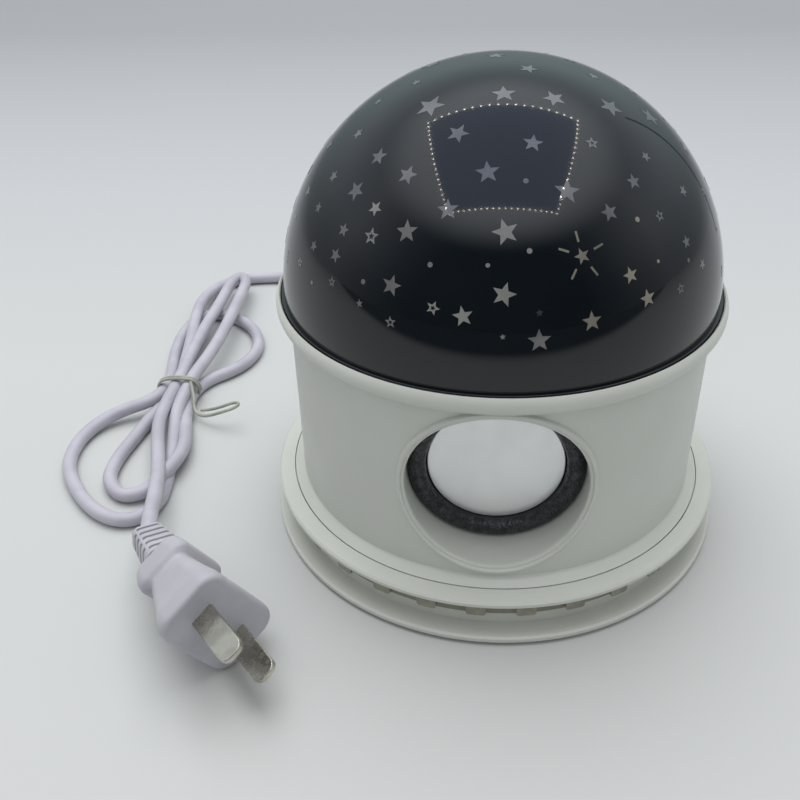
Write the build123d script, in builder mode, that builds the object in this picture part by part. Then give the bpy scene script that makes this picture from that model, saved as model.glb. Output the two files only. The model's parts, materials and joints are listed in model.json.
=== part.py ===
from build123d import *
import os
from math import asin, cos, pi, radians, sin, tan

# Star night light projector: a round drum on an LED-lit base, a speaker in the drum's front,
# a motor-turned black dome printed with star windows on top, and a mains cord tied in a hank.
# Millimetres. +Z is up, the speaker faces -Y, and the origin is the middle of the base on the floor.

os.makedirs("parts", exist_ok=True)

# ------------------------------------------------------------------ driving sizes
# clearances
slip = 0.3              # between pieces that move past each other
seat_gap = 0.1          # between pieces that drop into each other
shaft_gap = 0.06        # radial clearance of a shaft in its bearing
thread_gap = 0.03       # radial clearance of a screw in its pilot hole

# round drum
body_r = 55.6           # outside of the drum wall
body_wall = 2.2
body_h = 52.1           # from the drum's seat on the flange to its rim
foot_spread = 2.8       # how far the drum's foot stands out past the wall
foot_edge_h = 1.2       # straight edge of the foot, above its seat
foot_rise = 1.25        # height of the slope from the foot's edge up to the wall
foot_blend = 0.4

# lit base: two discs with a groove for the LED strip between them
flange_ledge = 4.8      # upper disc, outside the drum's foot
flange_t = 1.9
flange_slope = 0.6      # the upper disc rises this much towards the drum
flange_seat_t = 1.4     # its thickness under the drum
flange_inset = 6.0      # from the posts' circle to the upper disc's hole
pan_margin = 0.8        # lower disc, outside the upper disc
pan_t = 2.0
groove_h = 9.2
groove_depth = 4.7
hub_wall = 2.0
edge_round = 0.5
strip_t = 0.4
strip_w = 5.2
strip_rise = 1.6        # the strip's middle, above the groove's middle
led_count = 30
led_w, led_h, led_t = 5.0, 3.6, 1.7
led_turn = -4.0         # degrees, from an even start at +X
led_round = 0.8

# rubber feet
feet_drop = 0.8
feet_r = 5.0
feet_t = 1.7
feet_inset = 15.0       # from the pan's edge to the middle of a foot
feet_count = 4

# case screws and their posts
post_inset = 7.4        # from the inside of the wall to the middle of a post
post_r = 3.4
post_count = 4
post_start = 45.0       # azimuth of the first post
tower_r = 4.2
screw_r = 1.2
screw_head_r = 2.6
screw_head_h = 1.8
screw_bite = 10.0       # length of the screw inside the post
head_sink = 6.2         # depth of the counterbore in the pan

# top deck with its rounded collar
deck_t = 1.5
collar_h = 5.3          # from the drum's rim to the collar's top
collar_wall = 1.3
collar_lift = 0.9       # height of the shadow gap under the collar
collar_curl = 0.9       # how far the bead curls in at its lower edge
bead_mid_h = 3.0        # widest point of the collar above the drum's rim
spigot_h = 3.0
spigot_t = 1.4
lead_hole_r = 3.0

# dome
dome_spread = 1.0       # the sphere's radius past the drum's wall
dome_wall = 1.6
dome_centre_h = 5.1     # centre of the sphere above the drum's rim
lip_spread = 0.7        # out-turned lip past the sphere
lip_t = 1.5
lip_round = 0.3

# turntable and its gear train
ring_teeth = 96
pinion_teeth = 12
table_flange_t = 2.1
table_rim_t = 1.7
table_rim_h = 3.0
gear_face_h = 4.0
gear_rim_t = 1.6
gear_moat = 2.0         # groove between the gear's rim and the dome's locating rim
backlash = 0.34
shaft_r = 1.5
shaft_hole_r = 3.0
motor_r = 8.8
motor_h = 18.0
gearbox_r = 9.2
gearbox_h = 7.2
bore_floor = 1.0
ear_t = 1.5
ear_reach = 12.5        # from the motor's axis to its fixing screws
ear_r = 2.8
boss_h = 4.0
motor_screw_r = 1.0
motor_screw_head_r = 1.9
motor_screw_head_h = 1.2

# lamp and its cover
lamp_board_r = 15.3
board_t = 1.4
pedestal_h = 1.6
pedestal_wall = 2.0
emitter_count = 4
emitter_w = 3.2
emitter_h = 0.9
emitter_circle_r = 4.5
cap_r = 11.2
cap_wall = 1.0
cap_flange_r = 14.5
cap_flange_t = 1.7
cover_t = 1.2
cover_lift = 5.0        # underside of the cover above the deck
cover_post_r = 2.8
cover_post_circle_r = 28.0
cover_post_count = 3
cover_hole_r = 13.2
cover_screw_r = 1.0
cover_screw_head_r = 2.0
cover_screw_bite = 3.5

# speaker in the drum's front
pod_margin_top = 0.3    # from the bead up to the drum's rim
pod_margin_low = 2.15   # from the bead down to the foot's slope
tunnel_wall = 0.9
bead_w = 1.65           # width of the raised bead round the opening
bead_h = 0.8
bead_round = 0.3
pod_depth = 11.7        # from the front of the wall to the speaker's flange
basket_flange_t = 1.2
basket_ledge = 0.65     # the basket's flange past the inside of the tunnel
basket_step = 1.6       # from the flange's edge in to the cone-shaped frame
basket_wall = 1.0
basket_depth = 11.0
basket_back_r = 13.0
tab_w, tab_t, tab_h = 6.0, 1.5, 6.0
tab_x = 10.0
roll_w = 2.2            # half width and height of the surround's half roll
roll_t = 0.6
surround_margin = 0.35  # from the surround's edge out to the tunnel
disc_t = 0.8
disc_recess = 0.9       # the disc's face behind the flange's front
cone_travel = 0.8
cone_depth = 6.5
cone_wall = 0.5
former_r = 6.7
former_wall = 0.3
magnet_r = 14.0
magnet_t = 6.0
yoke_r = 13.0
yoke_t = 1.5
pole_r = 6.0

# push buttons on a flat panel in the back
panel_w, panel_h, panel_t = 30.0, 21.0, 1.7
panel_round = 3.0
panel_drop = 21.5       # from the drum's rim down to the panel's middle
panel_inset = 3.8       # back of the panel behind the drum's outside
frame_margin = 3.0
frame_depth = 2.7
window_step = 1.5
button_r = 3.4
button_proud = 1.1
button_round = 0.6
button_flange = 0.8
button_flange_t = 1.1
button_pitch_x, button_pitch_z = 14.0, 8.8
button_travel = 0.5
switch_w, switch_h = 5.0, 1.8
stem_r, stem_h = 1.2, 0.3
button_board_t = 1.2
button_board_margin = 2.0
board_post_r = 1.3

# boards and leads in the base
main_w, main_d, main_t = 54.0, 38.0, 1.6
standoff_h = 5.2
standoff_r = 2.4
lead_r = 0.8
mains_lead_r = 1.5
button_lead_run = 12.0  # straight runs at both ends of the button leads
speaker_lead_run = 7.0  # straight run out of the speaker's header
tab_lead_run = 10.0     # straight run up into the speaker's tab
strip_lead_run = 11.0   # straight runs at both ends of the strip's wires
lamp_lead_run = 14.0    # straight runs at both ends of the lamp's leads

# mains cord
cord_r = 2.2
gland_azimuth = 105.0   # degrees from +X, seen from above
gland_z = 24.0
gland_neck_r = 3.1
gland_collar_r = 4.2
gland_collar_t = 1.5
gland_rib_r = 3.9
gland_tip_r = 2.9
gland_groove = 0.7
gland_ribs = 5
gland_len = 20.0        # from the drum's wall to the gland's tip
gland_flange_r = 4.5
gland_flange_t = 2.0
lead_straight = 13.0    # the cord runs straight out of the gland this far
hank_h = 11.0
hank_top_round = 3.5
hank_floor_round = 1.0
tie_w = 2.4
tie_t = 1.2
tie_round = 3.0

# plug with two flat blades
plug_x, plug_y, plug_lift = -65.1, -74.4, 15.1
plug_heading = -49.6    # degrees from +X
plug_pitch = 3.5        # blades point up by this much
plug_roll = 31.8        # degrees, so that one long edge lies on the floor
plug_len = 30.0
relief_len = 14.0
relief_slots = 4
slot_t = 0.8
slot_depth = 1.1
blade_w, blade_t, blade_len = 6.35, 1.5, 16.5
blade_pitch = 12.7
blade_round = 2.4
# rounded rectangles along the plug: distance behind the face, half width, half height
plug_sections = [
    (0.0, 13.1, 9.4),
    (0.8, 13.5, 9.8),
    (3.0, 13.4, 9.7),
    (6.0, 12.4, 9.0),
    (10.0, 11.1, 8.0),
    (14.0, 10.0, 7.1),
    (17.5, 9.0, 6.3),
    (19.5, 8.6, 6.0),
    (21.2, 9.0, 6.8),
    (22.6, 9.4, 8.2),
    (25.5, 9.2, 7.3),
    (28.0, 7.4, 6.3),
    (plug_len, 5.9, 5.4),
]
section_round = 4.4
relief_base = (5.4, 4.9)
relief_tip = (3.7, 3.3)

# the cord's route on the floor, from the gland to the hank, and from the hank to the plug
lead_route = [
    (-27.5, 98.5, 20.0),
    (-34.5, 111.5, 12.5),
    (-44.5, 122.8, 5.6),
    (-58.0, 130.6, 2.6),
    (-73.5, 133.5, 2.3),
    (-88.0, 132.0, 2.4),
    (-101.0, 127.0, 3.2),
]
tail_route = [
    (-100.6, -9.5, 8.2),
    (-98.2, -20.0, 9.2),
    (-96.4, -29.5, 10.6),
]
# the tie's waist, and the outside of the hank round its two loops above and two below
waist_right = (-102.0, 43.0)
waist_left = (-114.6, 43.0)
hank_outline = [
    waist_right, (-90.0, 52.0), (-84.2, 66.0), (-84.6, 81.0), (-91.0, 93.5),
    (-97.0, 106.0), (-98.0, 120.0), (-104.0, 130.0), (-111.5, 126.5), (-116.0, 113.0),
    (-121.0, 99.0), (-123.3, 84.0), (-120.5, 64.0), waist_left, (-123.5, 32.5),
    (-134.0, 20.5), (-137.2, 4.0), (-132.5, -11.0), (-122.0, -24.0), (-109.0, -31.0),
    (-98.5, -27.0), (-94.0, -12.0), (-94.0, 6.0), (-97.0, 26.0),
]

# ------------------------------------------------------------------ sizes that follow
pan_z = feet_drop
pan_top = pan_z + pan_t
hub_top = pan_top + groove_h
flange_top = hub_top + flange_t
seat_z = hub_top + flange_seat_t
foot_edge_z = seat_z + foot_edge_h
wall_z = foot_edge_z + foot_rise
rim_z = seat_z + body_h
deck_top = rim_z + deck_t
collar_top = rim_z + collar_h
body_in_r = body_r - body_wall
post_circle_r = body_in_r - post_inset
flange_in_r = post_circle_r - flange_inset
foot_r = body_r + foot_spread
flange_r = foot_r + flange_ledge
pan_r = flange_r + pan_margin
hub_r = flange_r - groove_depth
feet_circle_r = pan_r - feet_inset
strip_in_r = hub_r + seat_gap / 2
strip_z = (pan_top + hub_top) / 2 + strip_rise

dome_r = body_r + dome_spread
lip_r = dome_r + lip_spread
collar_in_r = lip_r + slip
collar_r = collar_in_r + collar_wall
table_z = deck_top + slip
table_top = table_z + table_flange_t
gear_top = table_z + gear_face_h
table_r = collar_in_r - slip
lip_top = table_top + lip_t
dome_in_r = dome_r - dome_wall
dome_z = rim_z + dome_centre_h
rim_out_r = dome_in_r - slip
rim_in_r = rim_out_r - table_rim_t
gear_rim_r = rim_in_r - gear_moat
ring_root_r = gear_rim_r - gear_rim_t
# the root radius of the ring is its pitch radius and 1.25 modules, where a module is pitch / teeth
dedendum = 1.25
addendum = 0.85
gear_module = ring_root_r / (ring_teeth / 2 + dedendum)
ring_pitch_r = gear_module * ring_teeth / 2
pinion_pitch_r = gear_module * pinion_teeth / 2
motor_x = ring_pitch_r - pinion_pitch_r
cover_z = deck_top + cover_lift
cover_top = cover_z + cover_t
cover_r = rim_in_r - slip
pedestal_r = lamp_board_r + seat_gap
pedestal_top = deck_top + pedestal_h
lamp_top = pedestal_top + board_t
gearbox_top = rim_z - slip
gearbox_z = gearbox_top - gearbox_h
boss_z = rim_z - boss_h
shaft_z = gearbox_z + bore_floor + slip

bead_r = (rim_z - pod_margin_top - wall_z - pod_margin_low) / 2
pod_z = rim_z - pod_margin_top - bead_r
pod_in_r = bead_r - bead_w
tunnel_r = pod_in_r + tunnel_wall
basket_r = pod_in_r + basket_ledge
basket_shoulder_r = basket_r - basket_step
seat_y = pod_depth - body_r
disc_y = seat_y + disc_recess
disc_back_y = disc_y + disc_t
basket_back_y = seat_y + basket_depth
magnet_back_y = basket_back_y + magnet_t
former_len = magnet_back_y - disc_back_y - cone_travel - slip
surround_out_r = pod_in_r - surround_margin
surround_mid_r = surround_out_r - roll_w
surround_in_r = surround_mid_r - roll_w
disc_r = surround_in_r - slip
spigot_r = body_in_r - slip

panel_z = rim_z - panel_drop
panel_y = body_r - panel_inset
panel_front_y = panel_y + panel_t
frame_y = panel_y - frame_depth
button_y = panel_y - seat_gap - button_flange_t
stem_y = button_y - button_travel - seat_gap
switch_y = stem_y - stem_h - switch_h
button_board_y = switch_y - button_board_t
main_z = pan_top + standoff_h
main_top = main_z + main_t

pod_front = Plane(origin=(0, 0, pod_z), x_dir=(1, 0, 0), z_dir=(0, -1, 0))
pod_side = Plane(origin=(0, 0, pod_z), x_dir=(0, 0, 1), z_dir=(-1, 0, 0))
pod_axis = Axis((0, 0, pod_z), (0, 1, 0))
back_face = Plane(origin=(0, 0, panel_z), x_dir=(-1, 0, 0), z_dir=(0, 1, 0))


def polar(radius, degrees, z=0.0):
    """A point at this radius and azimuth."""
    return (radius * cos(radians(degrees)), radius * sin(radians(degrees)), z)


def bend_radii(points):
    """The largest even bend at each inner point: 0.45 of the shorter run over tan(half the turn)."""
    radii = []
    for before, corner, after in zip(points, points[1:], points[2:]):
        run_in = Vector(corner) - Vector(before)
        run_out = Vector(after) - Vector(corner)
        half_turn = radians(run_in.get_angle(run_out)) / 2
        radii.append(0.45 * min(run_in.length, run_out.length) / tan(half_turn))
    return radii


def tube(points, radius, label):
    """A round tube of straight runs and tangent arcs along the points."""
    radii = bend_radii(points)
    with BuildPart() as made:
        with BuildLine() as path:
            FilletPolyline(*points, radius=radii)
        line = path.wires()[0]
        with BuildSketch(Plane(origin=line @ 0, z_dir=line % 0)):
            Circle(radius)
        sweep(path=line)
    share = made.part.volume / (pi * radius**2 * line.length)
    print(f"{label}: length {line.length:.1f}, volume {share:.4f} of section x length,")
    print(f"    bend radii {[round(bend, 1) for bend in radii]}")
    return made.part


def tooth(inner_r, outer_r, inner_half, outer_half):
    """A gear tooth's outline on the +X axis, as four corners."""
    return [(inner_r, -inner_half), (outer_r, -outer_half), (outer_r, outer_half), (inner_r, inner_half)]


def flank(from_pitch):
    """Half a tooth's thickness at this distance from the pitch circle towards its root."""
    pressure = radians(20)
    return (pi * gear_module / 2 - backlash) / 2 + from_pitch * tan(pressure)


# ------------------------------------------------------------------ lit base
with BuildPart() as rubber_feet:
    with BuildSketch():
        with PolarLocations(feet_circle_r, feet_count):
            Circle(feet_r)
    extrude(amount=feet_t)
    fillet(rubber_feet.faces().sort_by(Axis.Z)[:feet_count].edges(), slip)
rubber_feet.part.label = "rubber_feet"
export_step(rubber_feet.part, "parts/rubber_feet.step")

with BuildPart() as base_pan:
    with BuildSketch(Plane.XZ):
        with BuildLine():
            Polyline(
                (0, pan_z),
                (pan_r - edge_round, pan_z),
                (pan_r, pan_z + edge_round),
                (pan_r, pan_top - edge_round),
                (pan_r - edge_round, pan_top),
                (hub_r, pan_top),
                (hub_r, hub_top),
                (hub_r - hub_wall, hub_top),
                (hub_r - hub_wall, pan_top),
                (0, pan_top),
                close=True,
            )
        make_face()
    revolve(axis=Axis.Z)
    with BuildSketch(Plane.XY.offset(pan_top)):
        with PolarLocations(post_circle_r, post_count, start_angle=post_start):
            Circle(tower_r)
    extrude(amount=groove_h)
    with BuildSketch(Plane.XY.offset(pan_top)):
        with GridLocations(main_w - 3 * standoff_r, main_d - 3 * standoff_r, 2, 2):
            Circle(standoff_r)
    extrude(amount=standoff_h)
    with BuildSketch(Plane.XY.offset(pan_z)):
        with PolarLocations(feet_circle_r, feet_count):
            Circle(feet_r + seat_gap)
    extrude(amount=feet_t - feet_drop, mode=Mode.SUBTRACT)
    with BuildSketch(Plane.XY.offset(pan_z)):
        with PolarLocations(post_circle_r, post_count, start_angle=post_start):
            Circle(screw_head_r + slip)
    extrude(amount=head_sink, mode=Mode.SUBTRACT)
    with BuildSketch(Plane.XY.offset(pan_z)):
        with PolarLocations(post_circle_r, post_count, start_angle=post_start):
            Circle(screw_r + slip)
    extrude(amount=hub_top - pan_z, mode=Mode.SUBTRACT)
    with BuildSketch(Plane(origin=(0, 0, strip_z), z_dir=(-1, 0, 0))):
        Circle(lead_r + slip)
    extrude(amount=pan_r, mode=Mode.SUBTRACT)
base_pan.part.label = "base_pan"
export_step(base_pan.part, "parts/base_pan.step")

with BuildPart() as led_strip:
    with BuildSketch(Plane.XY.offset(strip_z - strip_w / 2)):
        Circle(strip_in_r + strip_t)
        Circle(strip_in_r, mode=Mode.SUBTRACT)
    extrude(amount=strip_w)
led_strip.part.label = "led_strip"
export_step(led_strip.part, "parts/led_strip.step")

led_back_r = strip_in_r + strip_t + seat_gap / 2
led_step = 360 / led_count
with BuildPart() as strip_leds:
    for turn in range(led_count):
        outward = Vector(*polar(1, led_step * (turn + 0.5) + led_turn))
        back = outward * led_back_r + Vector(0, 0, strip_z)
        with BuildSketch(Plane(origin=back, x_dir=(0, 0, 1), z_dir=outward)):
            RectangleRounded(led_h, led_w, led_round)
        extrude(amount=led_t)
strip_leds.part.label = "strip_leds"
export_step(strip_leds.part, "parts/strip_leds.step")

with BuildPart() as flange_plate:
    with BuildSketch(Plane.XZ):
        with BuildLine():
            Polyline(
                (flange_in_r, hub_top),
                (flange_r - edge_round, hub_top),
                (flange_r, hub_top + edge_round),
                (flange_r, flange_top - edge_round),
                (flange_r - edge_round, flange_top),
                (foot_r + slip, flange_top + flange_slope),
                (foot_r + slip, seat_z),
                (flange_in_r, seat_z),
                close=True,
            )
        make_face()
    revolve(axis=Axis.Z)
    with BuildSketch(Plane.XY.offset(hub_top)):
        with PolarLocations(post_circle_r, post_count, start_angle=post_start):
            Circle(screw_r + slip)
    extrude(amount=flange_seat_t, mode=Mode.SUBTRACT)
flange_plate.part.label = "flange_plate"
export_step(flange_plate.part, "parts/flange_plate.step")

screw_shoulder_z = pan_z + head_sink
with BuildPart() as case_screws:
    with BuildSketch(Plane.XY.offset(screw_shoulder_z - screw_head_h)):
        with PolarLocations(post_circle_r, post_count, start_angle=post_start):
            Circle(screw_head_r)
    extrude(amount=screw_head_h)
    with BuildSketch(Plane.XY.offset(screw_shoulder_z)):
        with PolarLocations(post_circle_r, post_count, start_angle=post_start):
            Circle(screw_r)
    extrude(amount=seat_z + screw_bite - screw_shoulder_z)
case_screws.part.label = "case_screws"
export_step(case_screws.part, "parts/case_screws.step")

# ------------------------------------------------------------------ drum
gland_out = Vector(*polar(1, gland_azimuth))
gland_root = Vector(0, 0, gland_z)
board_w = panel_w + 2 * button_board_margin
board_h = panel_h + 2 * button_board_margin
with BuildPart() as body_shell:
    with BuildSketch(Plane.XZ):
        with BuildLine():
            Polyline(
                (body_in_r, seat_z),
                (foot_r, seat_z),
                (foot_r, foot_edge_z),
                (body_r + foot_blend, wall_z),
                (body_r, wall_z + foot_blend),
                (body_r, rim_z),
                (body_in_r, rim_z),
                close=True,
            )
        make_face()
    revolve(axis=Axis.Z)
    # flat frame behind the button panel, cut back to the drum's curve, with four board posts
    with BuildSketch(back_face.offset(frame_y)):
        Rectangle(panel_w + 2 * frame_margin, panel_h + 2 * frame_margin)
    extrude(amount=panel_front_y - frame_y)
    with BuildSketch(back_face.offset(button_board_y + button_board_t)):
        with GridLocations(board_w - 3 * board_post_r, board_h - 3 * board_post_r, 2, 2):
            Circle(board_post_r)
    extrude(amount=frame_y - button_board_y - button_board_t)
    with BuildSketch(Plane.XY.offset(panel_z - panel_h)):
        Circle(2 * pan_r)
        Circle(body_r, mode=Mode.SUBTRACT)
    extrude(amount=2 * panel_h, mode=Mode.SUBTRACT)
    with BuildSketch(back_face.offset(panel_y)):
        RectangleRounded(panel_w + 2 * seat_gap, panel_h + 2 * seat_gap, panel_round)
    extrude(amount=body_r, mode=Mode.SUBTRACT)
    with BuildSketch(back_face.offset(frame_y)):
        Rectangle(panel_w - 2 * window_step, panel_h - 2 * window_step)
    extrude(amount=body_r, mode=Mode.SUBTRACT)
    # speaker opening in the front and the gland's hole in the back
    with BuildSketch(pod_front):
        Circle(tunnel_r + seat_gap)
    extrude(amount=2 * body_r, mode=Mode.SUBTRACT)
    with BuildSketch(Plane(origin=gland_root, z_dir=gland_out)):
        Circle(gland_neck_r + seat_gap)
    extrude(amount=2 * body_r, mode=Mode.SUBTRACT)
body_shell.part.label = "body_shell"
export_step(body_shell.part, "parts/body_shell.step")

bead_low = (collar_r - collar_curl, rim_z + collar_lift)
bead_top = (collar_in_r + lip_round, collar_top)
with BuildPart() as top_deck:
    with BuildSketch(Plane.XZ):
        with BuildLine():
            Polyline((0, rim_z), (body_r + seat_gap, rim_z), (body_r + foot_blend, bead_low[1]), bead_low)
            ThreePointArc(bead_low, (collar_r, rim_z + bead_mid_h), bead_top)
            Polyline(bead_top, (collar_in_r, collar_top - lip_round), (collar_in_r, deck_top))
            Polyline((collar_in_r, deck_top), (0, deck_top), (0, rim_z))
        make_face()
    revolve(axis=Axis.Z)
    with BuildSketch(Plane.XY.offset(rim_z - spigot_h)):
        Circle(spigot_r)
        Circle(spigot_r - spigot_t, mode=Mode.SUBTRACT)
    extrude(amount=spigot_h)
    with BuildSketch(pod_front):
        Circle(basket_r + 2 * slip)
    extrude(amount=2 * body_r, mode=Mode.SUBTRACT)
    # posts down to the flange plate, with pilot holes for the case screws
    with BuildSketch(Plane.XY.offset(seat_z + seat_gap)):
        with PolarLocations(post_circle_r, post_count, start_angle=post_start):
            Circle(post_r)
            Circle(screw_r + thread_gap, mode=Mode.SUBTRACT)
    extrude(amount=screw_bite)
    with BuildSketch(Plane.XY.offset(seat_z + seat_gap + screw_bite)):
        with PolarLocations(post_circle_r, post_count, start_angle=post_start):
            Circle(post_r)
    extrude(amount=body_h - seat_gap - screw_bite)
    # bosses for the motor below the deck, posts for the cover and a ring for the lamp above it
    with BuildSketch(Plane.XY.offset(boss_z)):
        with Locations((motor_x, ear_reach), (motor_x, -ear_reach)):
            Circle(ear_r)
            Circle(motor_screw_r + thread_gap, mode=Mode.SUBTRACT)
    extrude(amount=boss_h)
    with BuildSketch(Plane.XY.offset(deck_top)):
        with PolarLocations(cover_post_circle_r, cover_post_count, start_angle=60):
            Circle(cover_post_r)
            Circle(cover_screw_r + thread_gap, mode=Mode.SUBTRACT)
    extrude(amount=cover_lift)
    with BuildSketch(Plane.XY.offset(deck_top)):
        Circle(pedestal_r)
        Circle(pedestal_r - pedestal_wall, mode=Mode.SUBTRACT)
    extrude(amount=pedestal_h)
    with BuildSketch(Plane.XY.offset(rim_z)):
        Circle(lead_hole_r)
        with Locations((motor_x, 0)):
            Circle(shaft_hole_r)
    extrude(amount=deck_t, mode=Mode.SUBTRACT)
top_deck.part.label = "top_deck"
export_step(top_deck.part, "parts/top_deck.step")

# ------------------------------------------------------------------ turntable, drive and dome
with BuildPart() as turntable:
    with BuildSketch(Plane.XZ):
        with BuildLine():
            Polyline(
                (ring_root_r, table_z),
                (table_r, table_z),
                (table_r, table_top),
                (rim_out_r, table_top),
                (rim_out_r, table_top + table_rim_h),
                (rim_in_r, table_top + table_rim_h),
                (rim_in_r, table_top),
                (gear_rim_r, table_top),
                (gear_rim_r, gear_top),
                (ring_root_r, gear_top),
                close=True,
            )
        make_face()
    revolve(axis=Axis.Z)
    with BuildSketch(Plane.XY.offset(table_z)):
        Circle(gear_rim_r)
        Circle(ring_root_r, mode=Mode.SUBTRACT)
        with PolarLocations(0, ring_teeth, start_angle=180 / ring_teeth):
            Polygon(
                *tooth(
                    ring_pitch_r - addendum * gear_module,
                    gear_rim_r - gear_rim_t / 2,
                    flank(-addendum * gear_module),
                    flank(dedendum * gear_module),
                ),
                align=None,
            )
    extrude(amount=gear_face_h)
turntable.part.label = "turntable"
export_step(turntable.part, "parts/turntable.step")

pinion_root_r = pinion_pitch_r - dedendum * gear_module
with BuildPart() as drive_pinion:
    with BuildSketch(Plane(origin=(motor_x, 0, table_z + slip))):
        Circle(pinion_root_r)
        with PolarLocations(0, pinion_teeth):
            Polygon(
                *tooth(
                    pinion_root_r / 2,
                    pinion_pitch_r + addendum * gear_module,
                    flank(dedendum * gear_module) / 2,
                    flank(-addendum * gear_module),
                ),
                align=None,
            )
    extrude(amount=gear_face_h - 2 * slip)
    with BuildSketch(Plane(origin=(motor_x, 0, shaft_z))):
        Circle(shaft_r)
    extrude(amount=table_z + slip - shaft_z)
drive_pinion.part.label = "drive_pinion"
export_step(drive_pinion.part, "parts/drive_pinion.step")

with BuildPart() as motor_gearbox:
    with BuildSketch(Plane(origin=(motor_x, 0, gearbox_z))):
        Circle(gearbox_r)
    extrude(amount=gearbox_h)
    with BuildSketch(Plane(origin=(motor_x, 0, boss_z - ear_t))):
        SlotCenterToCenter(2 * ear_reach, 2 * ear_r, rotation=90)
        with Locations((0, ear_reach), (0, -ear_reach)):
            Circle(motor_screw_r + seat_gap, mode=Mode.SUBTRACT)
    extrude(amount=ear_t)
    with BuildSketch(Plane(origin=(motor_x, 0, gearbox_z + bore_floor))):
        Circle(shaft_r + shaft_gap)
    extrude(amount=gearbox_h, mode=Mode.SUBTRACT)
motor_gearbox.part.label = "motor_gearbox"
export_step(motor_gearbox.part, "parts/motor_gearbox.step")

with BuildPart() as motor_can:
    with BuildSketch(Plane(origin=(motor_x, 0, gearbox_z - motor_h))):
        Circle(motor_r)
    extrude(amount=motor_h)
    fillet(motor_can.faces().sort_by(Axis.Z)[0].edges(), edge_round)
motor_can.part.label = "motor_can"
export_step(motor_can.part, "parts/motor_can.step")

with BuildPart() as motor_screws:
    with BuildSketch(Plane(origin=(motor_x, 0, boss_z - ear_t - motor_screw_head_h))):
        with Locations((0, ear_reach), (0, -ear_reach)):
            Circle(motor_screw_head_r)
    extrude(amount=motor_screw_head_h)
    with BuildSketch(Plane(origin=(motor_x, 0, boss_z - ear_t))):
        with Locations((0, ear_reach), (0, -ear_reach)):
            Circle(motor_screw_r)
    extrude(amount=ear_t + boss_h - slip)
motor_screws.part.label = "motor_screws"
export_step(motor_screws.part, "parts/motor_screws.step")

# the sphere's outside ends where it meets the top of the lip
lip_angle = asin((lip_top - dome_z) / dome_r)
lip_meet = (dome_r * cos(lip_angle), lip_top)
high = radians(45)
with BuildPart() as dome:
    with BuildSketch(Plane.XZ):
        with BuildLine():
            ThreePointArc(
                (0, dome_z + dome_r), (dome_r * cos(high), dome_z + dome_r * sin(high)), lip_meet
            )
            Polyline(
                lip_meet,
                (lip_r - lip_round, lip_top),
                (lip_r, lip_top - lip_round),
                (lip_r, table_top),
                (dome_in_r, table_top),
                (dome_in_r, dome_z),
            )
            ThreePointArc(
                (dome_in_r, dome_z),
                (dome_in_r * cos(high), dome_z + dome_in_r * sin(high)),
                (0, dome_z + dome_in_r),
            )
            Line((0, dome_z + dome_in_r), (0, dome_z + dome_r))
        make_face()
    revolve(axis=Axis.Z)
dome.part.label = "dome"
export_step(dome.part, "parts/dome.step")

# ------------------------------------------------------------------ lamp
with BuildPart() as lamp_board:
    with BuildSketch(Plane.XY.offset(pedestal_top)):
        Circle(lamp_board_r)
    extrude(amount=board_t)
lamp_board.part.label = "lamp_board"
export_step(lamp_board.part, "parts/lamp_board.step")

with BuildPart() as lamp_emitters:
    with BuildSketch(Plane.XY.offset(lamp_top)):
        with PolarLocations(emitter_circle_r, emitter_count, start_angle=45):
            Rectangle(emitter_w, emitter_w)
    extrude(amount=emitter_h)
lamp_emitters.part.label = "lamp_emitters"
export_step(lamp_emitters.part, "parts/lamp_emitters.step")

cap_in_r = cap_r - cap_wall
cap_meet_r = cap_r * cos(asin(cap_flange_t / cap_r))
with BuildPart() as lamp_cap:
    with BuildSketch(Plane.XZ):
        with BuildLine():
            ThreePointArc(
                (0, lamp_top + cap_r),
                (cap_r * cos(high), lamp_top + cap_r * sin(high)),
                (cap_meet_r, lamp_top + cap_flange_t),
            )
            Polyline(
                (cap_meet_r, lamp_top + cap_flange_t),
                (cap_flange_r, lamp_top + cap_flange_t),
                (cap_flange_r, lamp_top),
                (cap_in_r, lamp_top),
            )
            ThreePointArc(
                (cap_in_r, lamp_top),
                (cap_in_r * cos(high), lamp_top + cap_in_r * sin(high)),
                (0, lamp_top + cap_in_r),
            )
            Line((0, lamp_top + cap_in_r), (0, lamp_top + cap_r))
        make_face()
    revolve(axis=Axis.Z)
lamp_cap.part.label = "lamp_cap"
export_step(lamp_cap.part, "parts/lamp_cap.step")

sink_h = cover_screw_head_r - cover_screw_r
with BuildPart() as deck_cover:
    with BuildSketch(Plane.XY.offset(cover_z)):
        Circle(cover_r)
        Circle(cover_hole_r, mode=Mode.SUBTRACT)
    extrude(amount=cover_t)
    with Locations(Plane.XY.offset(cover_top)):
        with PolarLocations(cover_post_circle_r, cover_post_count, start_angle=60):
            CounterSinkHole(cover_screw_r + seat_gap, cover_screw_head_r + seat_gap, depth=cover_t)
deck_cover.part.label = "deck_cover"
export_step(deck_cover.part, "parts/deck_cover.step")

with BuildPart() as cover_screws:
    with BuildSketch(Plane.XY.offset(cover_z - cover_screw_bite)):
        with PolarLocations(cover_post_circle_r, cover_post_count, start_angle=60):
            Circle(cover_screw_r)
    extrude(amount=cover_screw_bite + cover_t - seat_gap)
    with Locations(Plane.XY.offset(cover_top - seat_gap - sink_h / 2)):
        with PolarLocations(cover_post_circle_r, cover_post_count, start_angle=60):
            Cone(cover_screw_r, cover_screw_head_r, sink_h)
cover_screws.part.label = "cover_screws"
export_step(cover_screws.part, "parts/cover_screws.step")

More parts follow.
